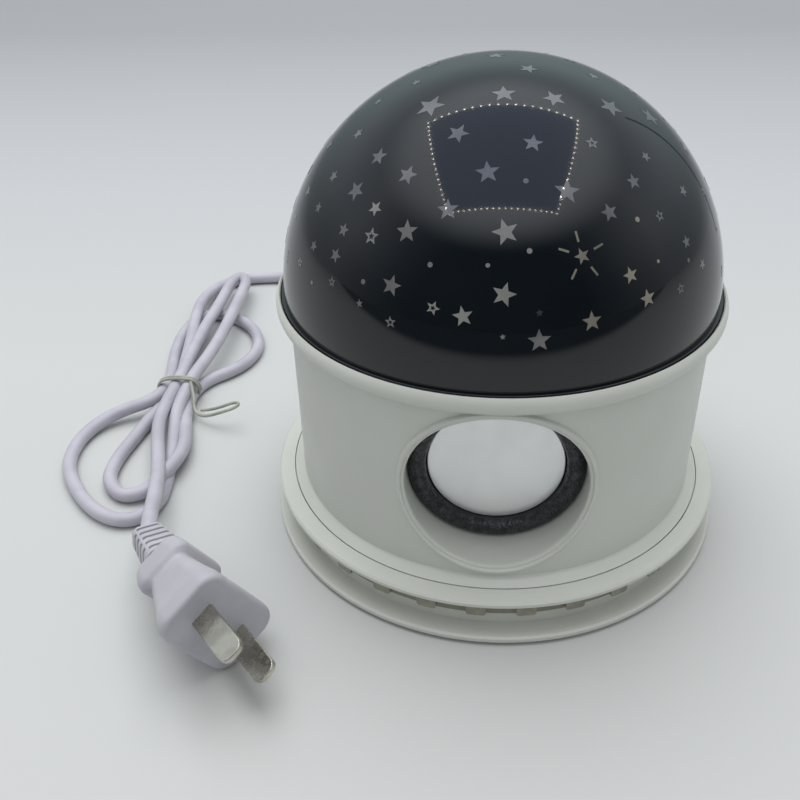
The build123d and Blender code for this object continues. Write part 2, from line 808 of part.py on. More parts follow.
# ------------------------------------------------------------------ speaker
with BuildPart() as behind_bead:
    with BuildSketch(pod_front.offset(-seat_y)):
        Circle(2 * bead_r)
        Circle(tunnel_r, mode=Mode.SUBTRACT)
    extrude(amount=2 * body_r)
    with BuildSketch():
        Circle(body_r + seat_gap / 2)
    extrude(amount=2 * body_h, mode=Mode.INTERSECT)

with BuildPart() as speaker_bezel:
    with BuildSketch(pod_front.offset(-seat_y)):
        Circle(bead_r)
        Circle(pod_in_r, mode=Mode.SUBTRACT)
    extrude(amount=2 * body_r)
    with BuildSketch():
        Circle(body_r + bead_h)
    extrude(amount=2 * body_h, mode=Mode.INTERSECT)
    fillet(speaker_bezel.faces().sort_by(Axis.Y)[0].edges(), bead_round)
    add(behind_bead.part, mode=Mode.SUBTRACT)
speaker_bezel.part.label = "speaker_bezel"
export_step(speaker_bezel.part, "parts/speaker_bezel.step")

with BuildPart() as speaker_surround:
    with BuildSketch(pod_side):
        with BuildLine():
            ThreePointArc(
                (surround_in_r, seat_y), (surround_mid_r, seat_y - roll_w), (surround_out_r, seat_y)
            )
            Line((surround_out_r, seat_y), (surround_out_r - roll_t, seat_y))
            ThreePointArc(
                (surround_out_r - roll_t, seat_y),
                (surround_mid_r, seat_y - roll_w + roll_t),
                (surround_in_r + roll_t, seat_y),
            )
            Line((surround_in_r + roll_t, seat_y), (surround_in_r, seat_y))
        make_face()
    revolve(axis=pod_axis)
speaker_surround.part.label = "speaker_surround"
export_step(speaker_surround.part, "parts/speaker_surround.step")

with BuildPart() as speaker_cone:
    with BuildSketch(pod_side):
        with BuildLine():
            Polyline(
                (0, disc_y),
                (disc_r, disc_y),
                (disc_r, disc_back_y),
                (disc_r - cone_wall, disc_back_y),
                (former_r, disc_back_y + cone_depth),
                (former_r, disc_back_y + former_len),
                (former_r - former_wall, disc_back_y + former_len),
                (former_r - former_wall, disc_back_y + cone_depth - cone_wall),
                (disc_r - 3 * cone_wall, disc_back_y),
                (0, disc_back_y),
                close=True,
            )
        make_face()
    revolve(axis=pod_axis)
speaker_cone.part.label = "speaker_cone"
export_step(speaker_cone.part, "parts/speaker_cone.step")

coil_hole_r = former_r + slip
flange_back_y = seat_y + basket_flange_t
with BuildPart() as speaker_basket:
    with BuildSketch(pod_side):
        with BuildLine():
            Polyline(
                (surround_in_r, seat_y),
                (basket_r, seat_y),
                (basket_r, flange_back_y),
                (basket_shoulder_r, flange_back_y),
                (basket_back_r, basket_back_y - basket_wall),
                (basket_back_r, basket_back_y),
                (coil_hole_r, basket_back_y),
                (coil_hole_r, basket_back_y - basket_wall),
                (basket_back_r - basket_wall, basket_back_y - basket_wall),
                (basket_shoulder_r - basket_wall, flange_back_y),
                (surround_in_r, flange_back_y),
                close=True,
            )
        make_face()
    revolve(axis=pod_axis)
    # tab for the two leads, under the basket
    with BuildSketch(pod_front.offset(-basket_back_y + basket_wall)):
        with Locations((tab_x, -basket_back_r)):
            Rectangle(tab_w, tab_h)
    extrude(amount=tab_t)
speaker_basket.part.label = "speaker_basket"
export_step(speaker_basket.part, "parts/speaker_basket.step")

with BuildPart() as speaker_magnet:
    with BuildSketch(pod_front.offset(-magnet_back_y)):
        Circle(magnet_r)
        Circle(coil_hole_r, mode=Mode.SUBTRACT)
    extrude(amount=magnet_t)
speaker_magnet.part.label = "speaker_magnet"
export_step(speaker_magnet.part, "parts/speaker_magnet.step")

with BuildPart() as speaker_yoke:
    with BuildSketch(pod_front.offset(-magnet_back_y - yoke_t)):
        Circle(yoke_r)
    extrude(amount=yoke_t)
    with BuildSketch(pod_front.offset(-magnet_back_y)):
        Circle(pole_r)
    extrude(amount=magnet_t)
speaker_yoke.part.label = "speaker_yoke"
export_step(speaker_yoke.part, "parts/speaker_yoke.step")

# ------------------------------------------------------------------ buttons in the back
with BuildPart() as button_panel:
    with BuildSketch(back_face.offset(panel_y)):
        RectangleRounded(panel_w, panel_h, panel_round)
        with GridLocations(button_pitch_x, button_pitch_z, 2, 2):
            Circle(button_r + slip, mode=Mode.SUBTRACT)
    extrude(amount=panel_t)
button_panel.part.label = "button_panel"
export_step(button_panel.part, "parts/button_panel.step")

button_places = {
    "lamp_button": (-1, 1),
    "turn_button": (1, 1),
    "colour_button": (-1, -1),
    "sound_button": (1, -1),
}
for button_name, (side, row) in button_places.items():
    middle = (side * button_pitch_x / 2, row * button_pitch_z / 2)
    with BuildPart() as button:
        with BuildSketch(back_face.offset(button_y)):
            with Locations(middle):
                Circle(button_r + button_flange)
        extrude(amount=button_flange_t)
        with BuildSketch(back_face.offset(button_y)):
            with Locations(middle):
                Circle(button_r)
        extrude(amount=panel_front_y + button_proud - button_y)
        fillet(button.faces().sort_by(Axis.Y)[-1].edges(), button_round)
    button.part.label = button_name
    export_step(button.part, f"parts/{button_name}.step")

with BuildPart() as tact_switches:
    with BuildSketch(back_face.offset(switch_y)):
        with GridLocations(button_pitch_x, button_pitch_z, 2, 2):
            Rectangle(switch_w, switch_w)
    extrude(amount=switch_h)
    with BuildSketch(back_face.offset(switch_y + switch_h)):
        with GridLocations(button_pitch_x, button_pitch_z, 2, 2):
            Circle(stem_r)
    extrude(amount=stem_h)
tact_switches.part.label = "tact_switches"
export_step(tact_switches.part, "parts/tact_switches.step")

with BuildPart() as button_board:
    with BuildSketch(back_face.offset(button_board_y)):
        Rectangle(board_w, board_h)
    extrude(amount=button_board_t)
button_board.part.label = "button_board"
export_step(button_board.part, "parts/button_board.step")

# ------------------------------------------------------------------ main board and leads
with BuildPart() as main_board:
    with BuildSketch(Plane.XY.offset(main_z)):
        Rectangle(main_w, main_d)
    extrude(amount=main_t)
main_board.part.label = "main_board"
export_step(main_board.part, "parts/main_board.step")

# blocks on the board: middle, size in x and y, and height
mains_block = ((-16.0, 13.0), (9.0, 6.0), 8.0)
transformer = ((-17.0, -5.0), (16.0, 16.0), 13.0)
lamp_header = ((0.0, 11.0), (6.0, 5.0), 6.0)
button_header = ((10.0, 13.0), (6.0, 4.0), 5.0)
motor_header = ((22.0, 9.0), (5.0, 4.0), 5.0)
speaker_header = ((16.0, -13.0), (7.0, 4.0), 5.0)
strip_header = ((-24.0, 8.0), (4.0, 5.0), 4.0)
sound_chip = ((11.0, -1.0), (9.0, 9.0), 1.6)
capacitors = (((-3.0, -6.0), 4.0, 12.0), ((0.0, -14.0), 3.2, 9.0))
with BuildPart() as board_parts:
    for middle, size, height in (
        mains_block, transformer, lamp_header, button_header,
        motor_header, speaker_header, strip_header, sound_chip,
    ):
        with BuildSketch(Plane.XY.offset(main_top)):
            with Locations(middle):
                Rectangle(*size)
        extrude(amount=height)
    for middle, radius, height in capacitors:
        with BuildSketch(Plane.XY.offset(main_top)):
            with Locations(middle):
                Circle(radius)
        extrude(amount=height)
board_parts.part.label = "board_parts"
export_step(board_parts.part, "parts/board_parts.step")


def above(block, rise=0.0):
    """The middle of a block's top, or a point above it."""
    (x, y), _, height = block
    return (x, y, main_top + height + rise)


def beside(block, side, reach=0.0):
    """The middle of a block's side face, with side (1, 0) facing +X, or a point out from it."""
    (x, y), (size_x, size_y), height = block
    x += side[0] * (size_x / 2 + reach)
    y += side[1] * (size_y / 2 + reach)
    return (x, y, main_top + height / 2)


def export_lead(points, radius, label):
    """Build one lead as a tube and write its file."""
    lead = tube(points, radius, label)
    lead.label = label
    export_step(lead, f"parts/{label}.step")


gland_inner_r = body_in_r - slip - gland_flange_t
mains_route = [
    polar(gland_inner_r, gland_azimuth, gland_z),
    polar(gland_inner_r - lead_straight, gland_azimuth, gland_z),
    beside(mains_block, (0, 1), lead_straight),
    beside(mains_block, (0, 1)),
]
export_lead(mains_route, mains_lead_r, "mains_lead")

lamp_route = [
    above(lamp_header),
    above(lamp_header, lamp_lead_run),
    (0.0, 0.0, rim_z - lamp_lead_run),
    (0.0, 0.0, pedestal_top),
]
export_lead(lamp_route, mains_lead_r, "lamp_leads")

motor_lead_x, motor_lead_y = motor_x - motor_r / 2, motor_r / 6
can_z = gearbox_z - motor_h
motor_route = [
    above(motor_header),
    above(motor_header, motor_r),
    (motor_lead_x, motor_lead_y, can_z - motor_r),
    (motor_lead_x, motor_lead_y, can_z),
]
export_lead(motor_route, lead_r, "motor_leads")

button_lead_z = panel_z - panel_h / 3
button_route = [
    (button_header[0][0], button_board_y, button_lead_z),
    (button_header[0][0], button_board_y - button_lead_run, button_lead_z),
    beside(button_header, (0, 1), button_lead_run),
    beside(button_header, (0, 1)),
]
export_lead(button_route, lead_r, "button_leads")

strip_route = [
    beside(strip_header, (-1, 0)),
    beside(strip_header, (-1, 0), strip_lead_run),
    (strip_lead_run - strip_in_r, 0.0, strip_z),
    (seat_gap / 2 - strip_in_r, 0.0, strip_z),
]
export_lead(strip_route, lead_r, "strip_wires")

# the speaker's two leads run from their header up into the tab under the basket
tab_z = pod_z - basket_back_r - tab_h / 2
tab_y = basket_back_y - basket_wall - tab_t / 2
lead_shift = Vector(tab_w / 4, 0, 0)
speaker_route = [
    Vector(*beside(speaker_header, (0, -1))),
    Vector(*beside(speaker_header, (0, -1), speaker_lead_run)),
    Vector(tab_x, tab_y, tab_z - tab_lead_run),
    Vector(tab_x, tab_y, tab_z),
]
with BuildPart() as speaker_leads:
    for side in (-1, 1):
        add(tube([point + lead_shift * side for point in speaker_route], lead_r, "speaker_lead"))
speaker_leads.part.label = "speaker_leads"
export_step(speaker_leads.part, "parts/speaker_leads.step")

# ------------------------------------------------------------------ mains cord
gland_tip = body_r + gland_len
gland_plane = Plane(origin=gland_root, x_dir=gland_out, z_dir=(0, 0, 1))
rib_from = body_r + 2 * seat_gap + gland_collar_t
rib_step = (gland_tip - rib_from) / gland_ribs
gland_profile = [
    (gland_inner_r, 0),
    (gland_inner_r, gland_flange_r),
    (gland_inner_r + gland_flange_t, gland_flange_r),
    (gland_inner_r + gland_flange_t, gland_neck_r),
    (body_r + 2 * seat_gap, gland_neck_r),
    (body_r + 2 * seat_gap, gland_collar_r),
    (rib_from, gland_collar_r),
]
for rib in range(gland_ribs):
    taper = (gland_rib_r - gland_tip_r) * rib / gland_ribs
    rib_at = rib_from + rib * rib_step
    groove_r = gland_rib_r - gland_groove - taper
    gland_profile += [
        (rib_at, groove_r),
        (rib_at + rib_step / 3, groove_r),
        (rib_at + rib_step / 3, gland_rib_r - taper),
        (rib_at + rib_step, gland_rib_r - taper),
    ]
gland_profile.append((gland_tip, 0))
with BuildPart() as cord_gland:
    with BuildSketch(gland_plane):
        with BuildLine():
            Polyline(*gland_profile, close=True)
        make_face()
    revolve(axis=Axis(gland_root, gland_out))
cord_gland.part.label = "cord_gland"
export_step(cord_gland.part, "parts/cord_gland.step")

lead_start = [
    polar(gland_tip, gland_azimuth, gland_z),
    polar(gland_tip + lead_straight, gland_azimuth, gland_z),
]
export_lead(lead_start + lead_route, cord_r, "cord_lead")

with BuildPart() as cord_hank:
    with BuildSketch():
        with BuildLine():
            Spline(*hank_outline, periodic=True)
        make_face()
    extrude(amount=hank_h)
    fillet(cord_hank.faces().sort_by(Axis.Z)[-1].edges(), hank_top_round)
    fillet(cord_hank.faces().sort_by(Axis.Z)[0].edges(), hank_floor_round)
cord_hank.part.label = "cord_hank"
export_step(cord_hank.part, "parts/cord_hank.step")

waist_y = waist_right[1]
with BuildPart() as cord_tie:
    with BuildSketch(Plane(origin=(0, waist_y + tie_w / 2, 0), x_dir=(1, 0, 0), z_dir=(0, -1, 0))) as arch:
        with Locations(((waist_left[0] + waist_right[0]) / 2, 0)):
            Rectangle(
                waist_right[0] - waist_left[0] + 3 * tie_t, hank_h + tie_t, align=(Align.CENTER, Align.MIN)
            )
        fillet(arch.vertices().sort_by(Axis.Y)[-2:], tie_round)
    extrude(amount=tie_w)
    add(cord_hank.part, mode=Mode.SUBTRACT)
cord_tie.part.label = "cord_tie"
export_step(cord_tie.part, "parts/cord_tie.step")

# ------------------------------------------------------------------ plug
pitch, roll = radians(plug_pitch), radians(plug_roll)
blades_out = Vector(*polar(cos(pitch), plug_heading, sin(pitch)))
plug_right = blades_out.cross(Vector(0, 0, 1)).normalized()
plug_up = plug_right.cross(blades_out)
across = plug_up * -cos(roll) + plug_right * -sin(roll)
plug_face = Plane(origin=(plug_x, plug_y, plug_lift), x_dir=across, z_dir=blades_out)

with BuildPart() as plug_body:
    for behind, half, side in plug_sections:
        with BuildSketch(plug_face.offset(-behind)):
            RectangleRounded(2 * half, 2 * side, section_round)
    loft(ruled=True)
plug_body.part.label = "plug_body"
export_step(plug_body.part, "parts/plug_body.step")

slot_step = relief_len / (relief_slots + 1)
with BuildPart() as plug_relief:
    with BuildSketch(plug_face.offset(-plug_len)):
        Ellipse(*relief_base)
    with BuildSketch(plug_face.offset(-plug_len - relief_len)):
        Ellipse(*relief_tip)
    loft(ruled=True)
    for slot in range(relief_slots):
        along = slot_step * (slot + 1)
        share = along / relief_len
        half_a = relief_base[0] + (relief_tip[0] - relief_base[0]) * share
        half_b = relief_base[1] + (relief_tip[1] - relief_base[1]) * share
        with BuildSketch(plug_face.offset(-plug_len - along)):
            with Locations((half_a, 0), (-half_a, 0)):
                Rectangle(2 * slot_depth, half_b)
            with Locations((0, half_b), (0, -half_b)):
                Rectangle(half_a, 2 * slot_depth)
        extrude(amount=slot_t, mode=Mode.SUBTRACT)
plug_relief.part.label = "plug_relief"
export_step(plug_relief.part, "parts/plug_relief.step")

with BuildPart() as plug_blades:
    for side in (-1, 1):
        blade_root = plug_face.origin + across * (side * blade_pitch / 2 - blade_t / 2)
        with BuildSketch(Plane(origin=blade_root, x_dir=blades_out, z_dir=across)) as blade:
            Rectangle(blade_len, blade_w, align=(Align.MIN, Align.CENTER))
            fillet(blade.vertices().sort_by(Axis.X)[-2:], blade_round)
        extrude(amount=blade_t)
plug_blades.part.label = "plug_blades"
export_step(plug_blades.part, "parts/plug_blades.step")

relief_end = plug_face.origin - blades_out * (plug_len + relief_len - cord_r)
export_lead(tail_route + [relief_end], cord_r, "cord_tail")
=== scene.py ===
"""Star night light: everything that is seen of it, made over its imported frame.

A printed dome turns on a white drum with a speaker, over a lit base, and a tied mains cord leaves the back.
"""

import json
import logging
import math
from collections.abc import Callable, Iterable
from dataclasses import dataclass, field, replace
from enum import Enum

import bmesh
import bpy
from mathutils import Matrix, Vector


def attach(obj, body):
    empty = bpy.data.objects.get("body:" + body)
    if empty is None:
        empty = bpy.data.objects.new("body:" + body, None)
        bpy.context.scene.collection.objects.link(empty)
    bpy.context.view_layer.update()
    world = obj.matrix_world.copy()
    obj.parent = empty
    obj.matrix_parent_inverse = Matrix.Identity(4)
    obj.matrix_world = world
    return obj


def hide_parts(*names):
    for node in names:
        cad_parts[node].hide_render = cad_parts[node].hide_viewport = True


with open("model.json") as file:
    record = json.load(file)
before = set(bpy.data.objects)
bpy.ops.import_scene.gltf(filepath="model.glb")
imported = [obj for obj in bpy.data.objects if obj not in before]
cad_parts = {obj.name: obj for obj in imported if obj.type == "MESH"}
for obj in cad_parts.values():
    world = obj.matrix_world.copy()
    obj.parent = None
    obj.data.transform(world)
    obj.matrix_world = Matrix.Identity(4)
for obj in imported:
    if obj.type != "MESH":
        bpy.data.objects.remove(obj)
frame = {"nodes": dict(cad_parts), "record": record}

LOG = logging.getLogger("night_light")
MM = 0.001

Flat = tuple[float, float]
Point = tuple[float, float, float]
Colour = tuple[float, float, float]
Tones = tuple[tuple[float, Colour], ...]
Object = bpy.types.Object
Socket = bpy.types.NodeSocket
Given = float | tuple[float, ...] | Socket
Feeds = dict[str | int, Given]


def mm(point: Point) -> Vector:
    """Turns a point in millimetres into metres."""
    return Vector(point) * MM


# ---------------------------------------------------------------- node trees

NUMBER, VECTOR, COLOUR = "NodeSocketFloat", "NodeSocketVector", "NodeSocketColor"


@dataclass(frozen=True)
class Wiring:
    """A node tree that is wired up one node after another."""

    tree: bpy.types.NodeTree

    def feed(self, node: bpy.types.Node, feeds: Feeds) -> None:
        """Sets or links a node's inputs.

        Args:
            node: The node.
            feeds: A value or another node's socket for each input, by the input's name or number.
        """
        for name, given in feeds.items():
            if isinstance(given, Socket):
                self.tree.links.new(given, node.inputs[name])
            else:
                node.inputs[name].default_value = given

    def add(self, kind: str, feeds: Feeds, **settings: object) -> bpy.types.Node:
        """Adds a node.

        Args:
            kind: The node's type, without the prefix that all shader nodes have.
            feeds: A value or another node's socket for each input, by the input's name or number.
            **settings: The node's own settings by name.

        Returns:
            The node.
        """
        node = self.tree.nodes.new("ShaderNode" + kind)
        for setting, value in settings.items():
            setattr(node, setting, value)
        self.feed(node, feeds)
        return node

    def mix(self, factor: Given, first: Given, second: Given, blend: str = "MIX") -> Socket:
        """Adds a mix of two colours.

        Args:
            factor: How much of the second there is, as a number or a socket.
            first: The first colour, as four numbers or a socket.
            second: The second colour.
            blend: How the second is laid over the first.

        Returns:
            The colour's socket.
        """
        feeds = {"Factor": factor, "A": first, "B": second}
        return self.add("Mix", feeds, data_type="RGBA", blend_type=blend).outputs["Result"]

    def rise(self, value: Socket, span: Flat, kind: str = "SMOOTHSTEP") -> Socket:
        """Adds a rise from 0 to 1 over a span of a value.

        Args:
            value: The value that is measured.
            span: Where the rise starts and where it ends.
            kind: How it goes in between.

        Returns:
            The rise's socket.
        """
        feeds = {"Value": value, "From Min": span[0], "From Max": span[1]}
        return self.add("MapRange", feeds, interpolation_type=kind).outputs["Result"]

    def ramp(self, value: Socket, stops: Tones) -> Socket:
        """Adds a ramp of colours.

        Args:
            value: The value from 0 to 1 that picks the colour.
            stops: Each value that has a colour of its own, with the colour.

        Returns:
            The colour's socket.
        """
        made = self.add("ValToRGB", {"Fac": value})
        while len(made.color_ramp.elements) < len(stops):
            made.color_ramp.elements.new(0.5)  # it is moved to its own place below
        for element, (along, tone) in zip(made.color_ramp.elements, stops):
            element.position = along
            element.color = (*tone, 1)
        return made.outputs["Color"]


def new_group(name: str, inputs: dict[str, str], outputs: dict[str, str]) -> bpy.types.NodeTree:
    """Starts a shader node group.

    Args:
        name: What the group is called.
        inputs: Socket type of each input by name.
        outputs: Socket type of each output by name.

    Returns:
        The group, with its two end nodes in place.
    """
    group = bpy.data.node_groups.new(name, "ShaderNodeTree")
    for socket, kind in inputs.items():
        group.interface.new_socket(socket, in_out="INPUT", socket_type=kind)
    for socket, kind in outputs.items():
        group.interface.new_socket(socket, in_out="OUTPUT", socket_type=kind)
    group.nodes.new("NodeGroupInput").name = "in"
    group.nodes.new("NodeGroupOutput").name = "out"
    return group


# ---------------------------------------------------------------- finishes


class Grain(Enum):
    """The fine relief of a surface."""

    MOULDED = "moulded grain"
    HIDE = "rubber hide"
    DRAWN = "drawn lines"

    @property
    def detail(self) -> int:
        """How many finer layers its noise has."""
        return 3 if self is Grain.DRAWN else 2


# parts of the noise over which the tone and the polish drift, how much finer the polish varies, and how many
# finer layers their noises have
TONE_SPAN = (0.36, 0.64)
POLISH_SPAN = (0.3, 0.7)
POLISH_FINER = 3.7
TONE_DETAIL, POLISH_DETAIL = 4, 3
# how many times longer than wide the drawn lines are
DRAWN_STRETCH = 14.0


def uneven_tone() -> bpy.types.NodeTree:
    """Colour that drifts between two tones, and polish that drifts between two values.

    Returns:
        The group, made now or before.
    """
    name = "uneven tone"
    if name in bpy.data.node_groups:
        return bpy.data.node_groups[name]
    inputs = {"Place": VECTOR, "Patches": NUMBER, "Light": COLOUR, "Dark": COLOUR}
    inputs |= {"Smoothest": NUMBER, "Roughest": NUMBER}
    group = new_group(name, inputs, {"Colour": COLOUR, "Roughness": NUMBER})
    wiring = Wiring(group)
    given = group.nodes["in"].outputs
    feeds = {"Vector": given["Place"], "Scale": given["Patches"], "Detail": TONE_DETAIL}
    drift = wiring.add("TexNoise", feeds)
    tone = wiring.mix(wiring.rise(drift.outputs["Fac"], TONE_SPAN), given["Dark"], given["Light"])
    finer = wiring.add("Math", {0: given["Patches"], 1: POLISH_FINER}, operation="MULTIPLY")
    feeds = {"Vector": given["Place"], "Scale": finer.outputs[0], "Detail": POLISH_DETAIL}
    handled = wiring.add("TexNoise", feeds)
    ends = {"From Min": POLISH_SPAN[0], "From Max": POLISH_SPAN[1]}
    ends |= {"To Min": given["Smoothest"], "To Max": given["Roughest"]}
    polish = wiring.add("MapRange", {"Value": handled.outputs["Fac"], **ends})
    wiring.feed(group.nodes["out"], {"Colour": tone, "Roughness": polish.outputs["Result"]})
    return group


def grain_height(grain: Grain, wiring: Wiring) -> Socket:
    """Adds a grain's pattern: plain noise, noise stretched into lines, or pebbles with creases.

    Args:
        grain: The kind of relief.
        wiring: The group that it is added to.

    Returns:
        The height's socket.
    """
    given = wiring.tree.nodes["in"].outputs
    place = given["Place"]
    if grain is Grain.HIDE:
        cells = wiring.add("TexVoronoi", {"Vector": place, "Scale": given["Grains"]}, feature="SMOOTH_F1")
        return wiring.add("Math", {0: 1.0, 1: cells.outputs["Distance"]}, operation="SUBTRACT").outputs[0]
    if grain is Grain.DRAWN:
        place = wiring.add("Mapping", {"Vector": place, "Scale": (1.0, 1.0, DRAWN_STRETCH)}).outputs["Vector"]
    feeds = {"Vector": place, "Scale": given["Grains"], "Detail": grain.detail}
    return wiring.add("TexNoise", feeds).outputs["Fac"]


def relief_of(grain: Grain) -> bpy.types.NodeTree:
    """Makes the group that raises a surface by its grain, or finds it where it is made already.

    Args:
        grain: The kind of relief.

    Returns:
        The group, from Place, Grains and Depth to Normal.
    """
    if grain.value in bpy.data.node_groups:
        return bpy.data.node_groups[grain.value]
    group = new_group(grain.value, {"Place": VECTOR, "Grains": NUMBER, "Depth": NUMBER}, {"Normal": VECTOR})
    wiring = Wiring(group)
    depth = wiring.add("Math", {0: group.nodes["in"].outputs["Depth"], 1: MM}, operation="MULTIPLY")
    bump = wiring.add("Bump", {"Distance": depth.outputs[0], "Height": grain_height(grain, wiring)})
    wiring.feed(group.nodes["out"], {"Normal": bump.outputs["Normal"]})
    return group


@dataclass(frozen=True)
class Finish:
    """One material of the night light, with how it varies over the surface."""

    name: str
    light: Colour
    dark: Colour
    rough: Flat = (0.35, 0.45)
    patch: float = 18.0
    grain: Grain = Grain.MOULDED
    grain_size: float = 0.5
    relief: float = 0.02
    metallic: float = 0.0
    coat: float = 0.0
    clear: float = 0.0
    coat_rough: float = 0.03

    def material(self) -> bpy.types.Material:
        """Makes the material, or finds it where it is made already.

        Returns:
            The node material.
        """
        if self.name in bpy.data.materials:
            return bpy.data.materials[self.name]
        made = bpy.data.materials.new(self.name)
        made.use_nodes = True
        wiring = Wiring(made.node_tree)
        place = wiring.add("TexCoord", {}).outputs["Object"]
        tones = {"Light": (*self.light, 1), "Dark": (*self.dark, 1)}
        polish = {"Smoothest": self.rough[0], "Roughest": self.rough[1]}
        feeds = {"Place": place, "Patches": 1 / (self.patch * MM), **tones, **polish}
        tone = wiring.add("Group", feeds, node_tree=uneven_tone()).outputs
        feeds = {"Place": place, "Grains": 1 / (self.grain_size * MM), "Depth": self.relief}
        relief = wiring.add("Group", feeds, node_tree=relief_of(self.grain)).outputs
        shader = made.node_tree.nodes["Principled BSDF"]
        wiring.feed(shader, {"Metallic": self.metallic, "Transmission Weight": self.clear})
        wiring.feed(shader, {"Coat Weight": self.coat, "Coat Roughness": self.coat_rough})
        wiring.feed(shader, {"Base Color": tone["Colour"], "Roughness": tone["Roughness"]})
        wiring.feed(shader, {"Normal": relief["Normal"]})
        return made

    def dress(self, piece: Object) -> None:
        """Gives a piece this finish all over.

        Args:
            piece: The object to dress.
        """
        if not piece.material_slots:
            piece.data.materials.append(self.material())
        for place in piece.material_slots:
            place.material = self.material()


WHITE = Finish(
    "satin white plastic", (0.615, 0.635, 0.592), (0.595, 0.615, 0.572), (0.36, 0.46), 30, relief=0.006
)
CORD_WHITE = Finish(
    "soft white vinyl", (0.50, 0.49, 0.56), (0.43, 0.42, 0.485), (0.32, 0.42), 12, relief=0.008
)
PLUG_WHITE = Finish(
    "moulded vinyl", (0.47, 0.47, 0.515), (0.43, 0.43, 0.475), (0.38, 0.5), 10, relief=0.012
)
DOME_BLACK = Finish(
    "gloss black", (0.0085, 0.0105, 0.013), (0.0065, 0.008, 0.010), (0.045, 0.06), 40, relief=0.0
)
PRINT = Finish(
    "star print", (0.27, 0.27, 0.255), (0.13, 0.13, 0.13), (0.3, 0.4), 14, relief=0.002, coat=1.0
)
PRINT_TAN = replace(PRINT, name="tan star print", light=(0.25, 0.235, 0.185), dark=(0.14, 0.135, 0.115))
PRINT_DIM = replace(PRINT, name="dim star print", light=(0.095, 0.1, 0.112), dark=(0.055, 0.058, 0.066))
PRINT_FAINT = replace(PRINT, name="faint star print", light=(0.055, 0.058, 0.066), dark=(0.035, 0.037, 0.043))
SURROUND = Finish(
    "rubber surround", (0.034, 0.037, 0.044), (0.010, 0.011, 0.014), (0.26, 0.42), 1.6, Grain.HIDE, 0.5, 0.3
)
DISC = Finish(
    "pressed grey disc", (0.93, 0.94, 0.94), (0.89, 0.90, 0.91), (0.3, 0.4), 14, relief=0.004, metallic=0.65
)
NICKEL = Finish(
    "worn nickel", (0.62, 0.59, 0.51), (0.47, 0.45, 0.38), (0.2, 0.36), 5, Grain.DRAWN, 0.5, 0.006, 1.0
)
TIE_PALE = Finish("coated tie wire", (0.42, 0.445, 0.38), (0.31, 0.33, 0.275), (0.35, 0.5), 5, relief=0.02)

FINISHES: dict[str, Finish] = {
    "white_shell": WHITE,
    "dome_black": DOME_BLACK,
    "rubber_surround": SURROUND,
    "disc_grey": DISC,
    "cord_white": CORD_WHITE,
    "plug_white": PLUG_WHITE,
    "tie_pale": TIE_PALE,
    "blade_nickel": NICKEL,
    "table_black": Finish("black table moulding", (0.05, 0.05, 0.054), (0.04, 0.04, 0.044), (0.4, 0.5), 14),
    "cover_black": Finish(
        "matt black cover", (0.032, 0.032, 0.034), (0.024, 0.024, 0.026), (0.5, 0.62), 12, relief=0.03
    ),
    "gear_white": Finish("natural nylon", (0.80, 0.79, 0.73), (0.72, 0.70, 0.63), (0.35, 0.45), 6),
    # painted shade: the cream strip and its LEDs are darkened in colour for the shade in the groove under the
    # flange
    "strip_cream": Finish("printed strip in painted shade", (0.25, 0.25, 0.19), (0.19, 0.19, 0.155), (0.4, 0.5), 9),
    "led_cream": Finish("diffusing resin", (0.30, 0.295, 0.23), (0.23, 0.225, 0.18), (0.2, 0.3), 4),
    "button_grey": Finish("grey button", (0.55, 0.57, 0.58), (0.51, 0.53, 0.54), (0.35, 0.45), 9),
    "foot_rubber": Finish(
        "foot rubber", (0.06, 0.06, 0.06), (0.045, 0.045, 0.045), (0.6, 0.75), 5, Grain.HIDE, 0.5, 0.03
    ),
    "screw_steel": Finish(
        "zinc plate", (0.62, 0.62, 0.61), (0.5, 0.5, 0.5), (0.25, 0.4), 3, Grain.DRAWN, metallic=1.0
    ),
    "can_steel": Finish(
        "drawn can", (0.60, 0.60, 0.61), (0.5, 0.5, 0.52), (0.25, 0.38), 8, Grain.DRAWN, metallic=1.0
    ),
    "magnet_dark": Finish(
        "sintered ferrite", (0.09, 0.09, 0.095), (0.06, 0.06, 0.065), (0.5, 0.65), 6, relief=0.04
    ),
    "basket_dark": Finish("painted pressing", (0.055, 0.055, 0.06), (0.045, 0.045, 0.05), patch=10),
    "board_green": Finish("solder mask", (0.035, 0.21, 0.09), (0.025, 0.16, 0.07), (0.25, 0.35), 8),
    "board_black": Finish("moulded packages", (0.045, 0.045, 0.05), (0.03, 0.03, 0.034), (0.4, 0.55), 4),
    "emitter_yellow": Finish("phosphor", (0.85, 0.70, 0.25), (0.76, 0.58, 0.18), (0.3, 0.4), 2, relief=0.03),
    "lens_clear": Finish(
        "clear cap", (0.95, 0.97, 0.97), (0.92, 0.95, 0.95), (0.02, 0.05), 9, relief=0.002, clear=1.0
    ),
    "lead_white": Finish("white wire", (0.72, 0.72, 0.69), (0.64, 0.64, 0.6), (0.4, 0.5), 7),
    "lead_red": Finish("red wire", (0.5, 0.045, 0.035), (0.4, 0.03, 0.025), (0.38, 0.48), 7),
}


# ---------------------------------------------------------------- tools of the workshop

# distance in metres under which two vertices become one
MELT = 0.000002
# largest angles in degrees between two faces that still look like one surface
SMOOTH = 35.0
SMOOTH_ROUND = 40.0


def pick_nothing() -> None:
    """Leaves every object unselected, in object mode."""
    if bpy.context.object is not None and bpy.context.object.mode != "OBJECT":
        bpy.ops.object.mode_set(mode="OBJECT")
    bpy.ops.object.select_all(action="DESELECT")


def take(piece: Object) -> None:
    """Makes a piece the only one selected, and active."""
    pick_nothing()
    piece.select_set(True)
    bpy.context.view_layer.objects.active = piece


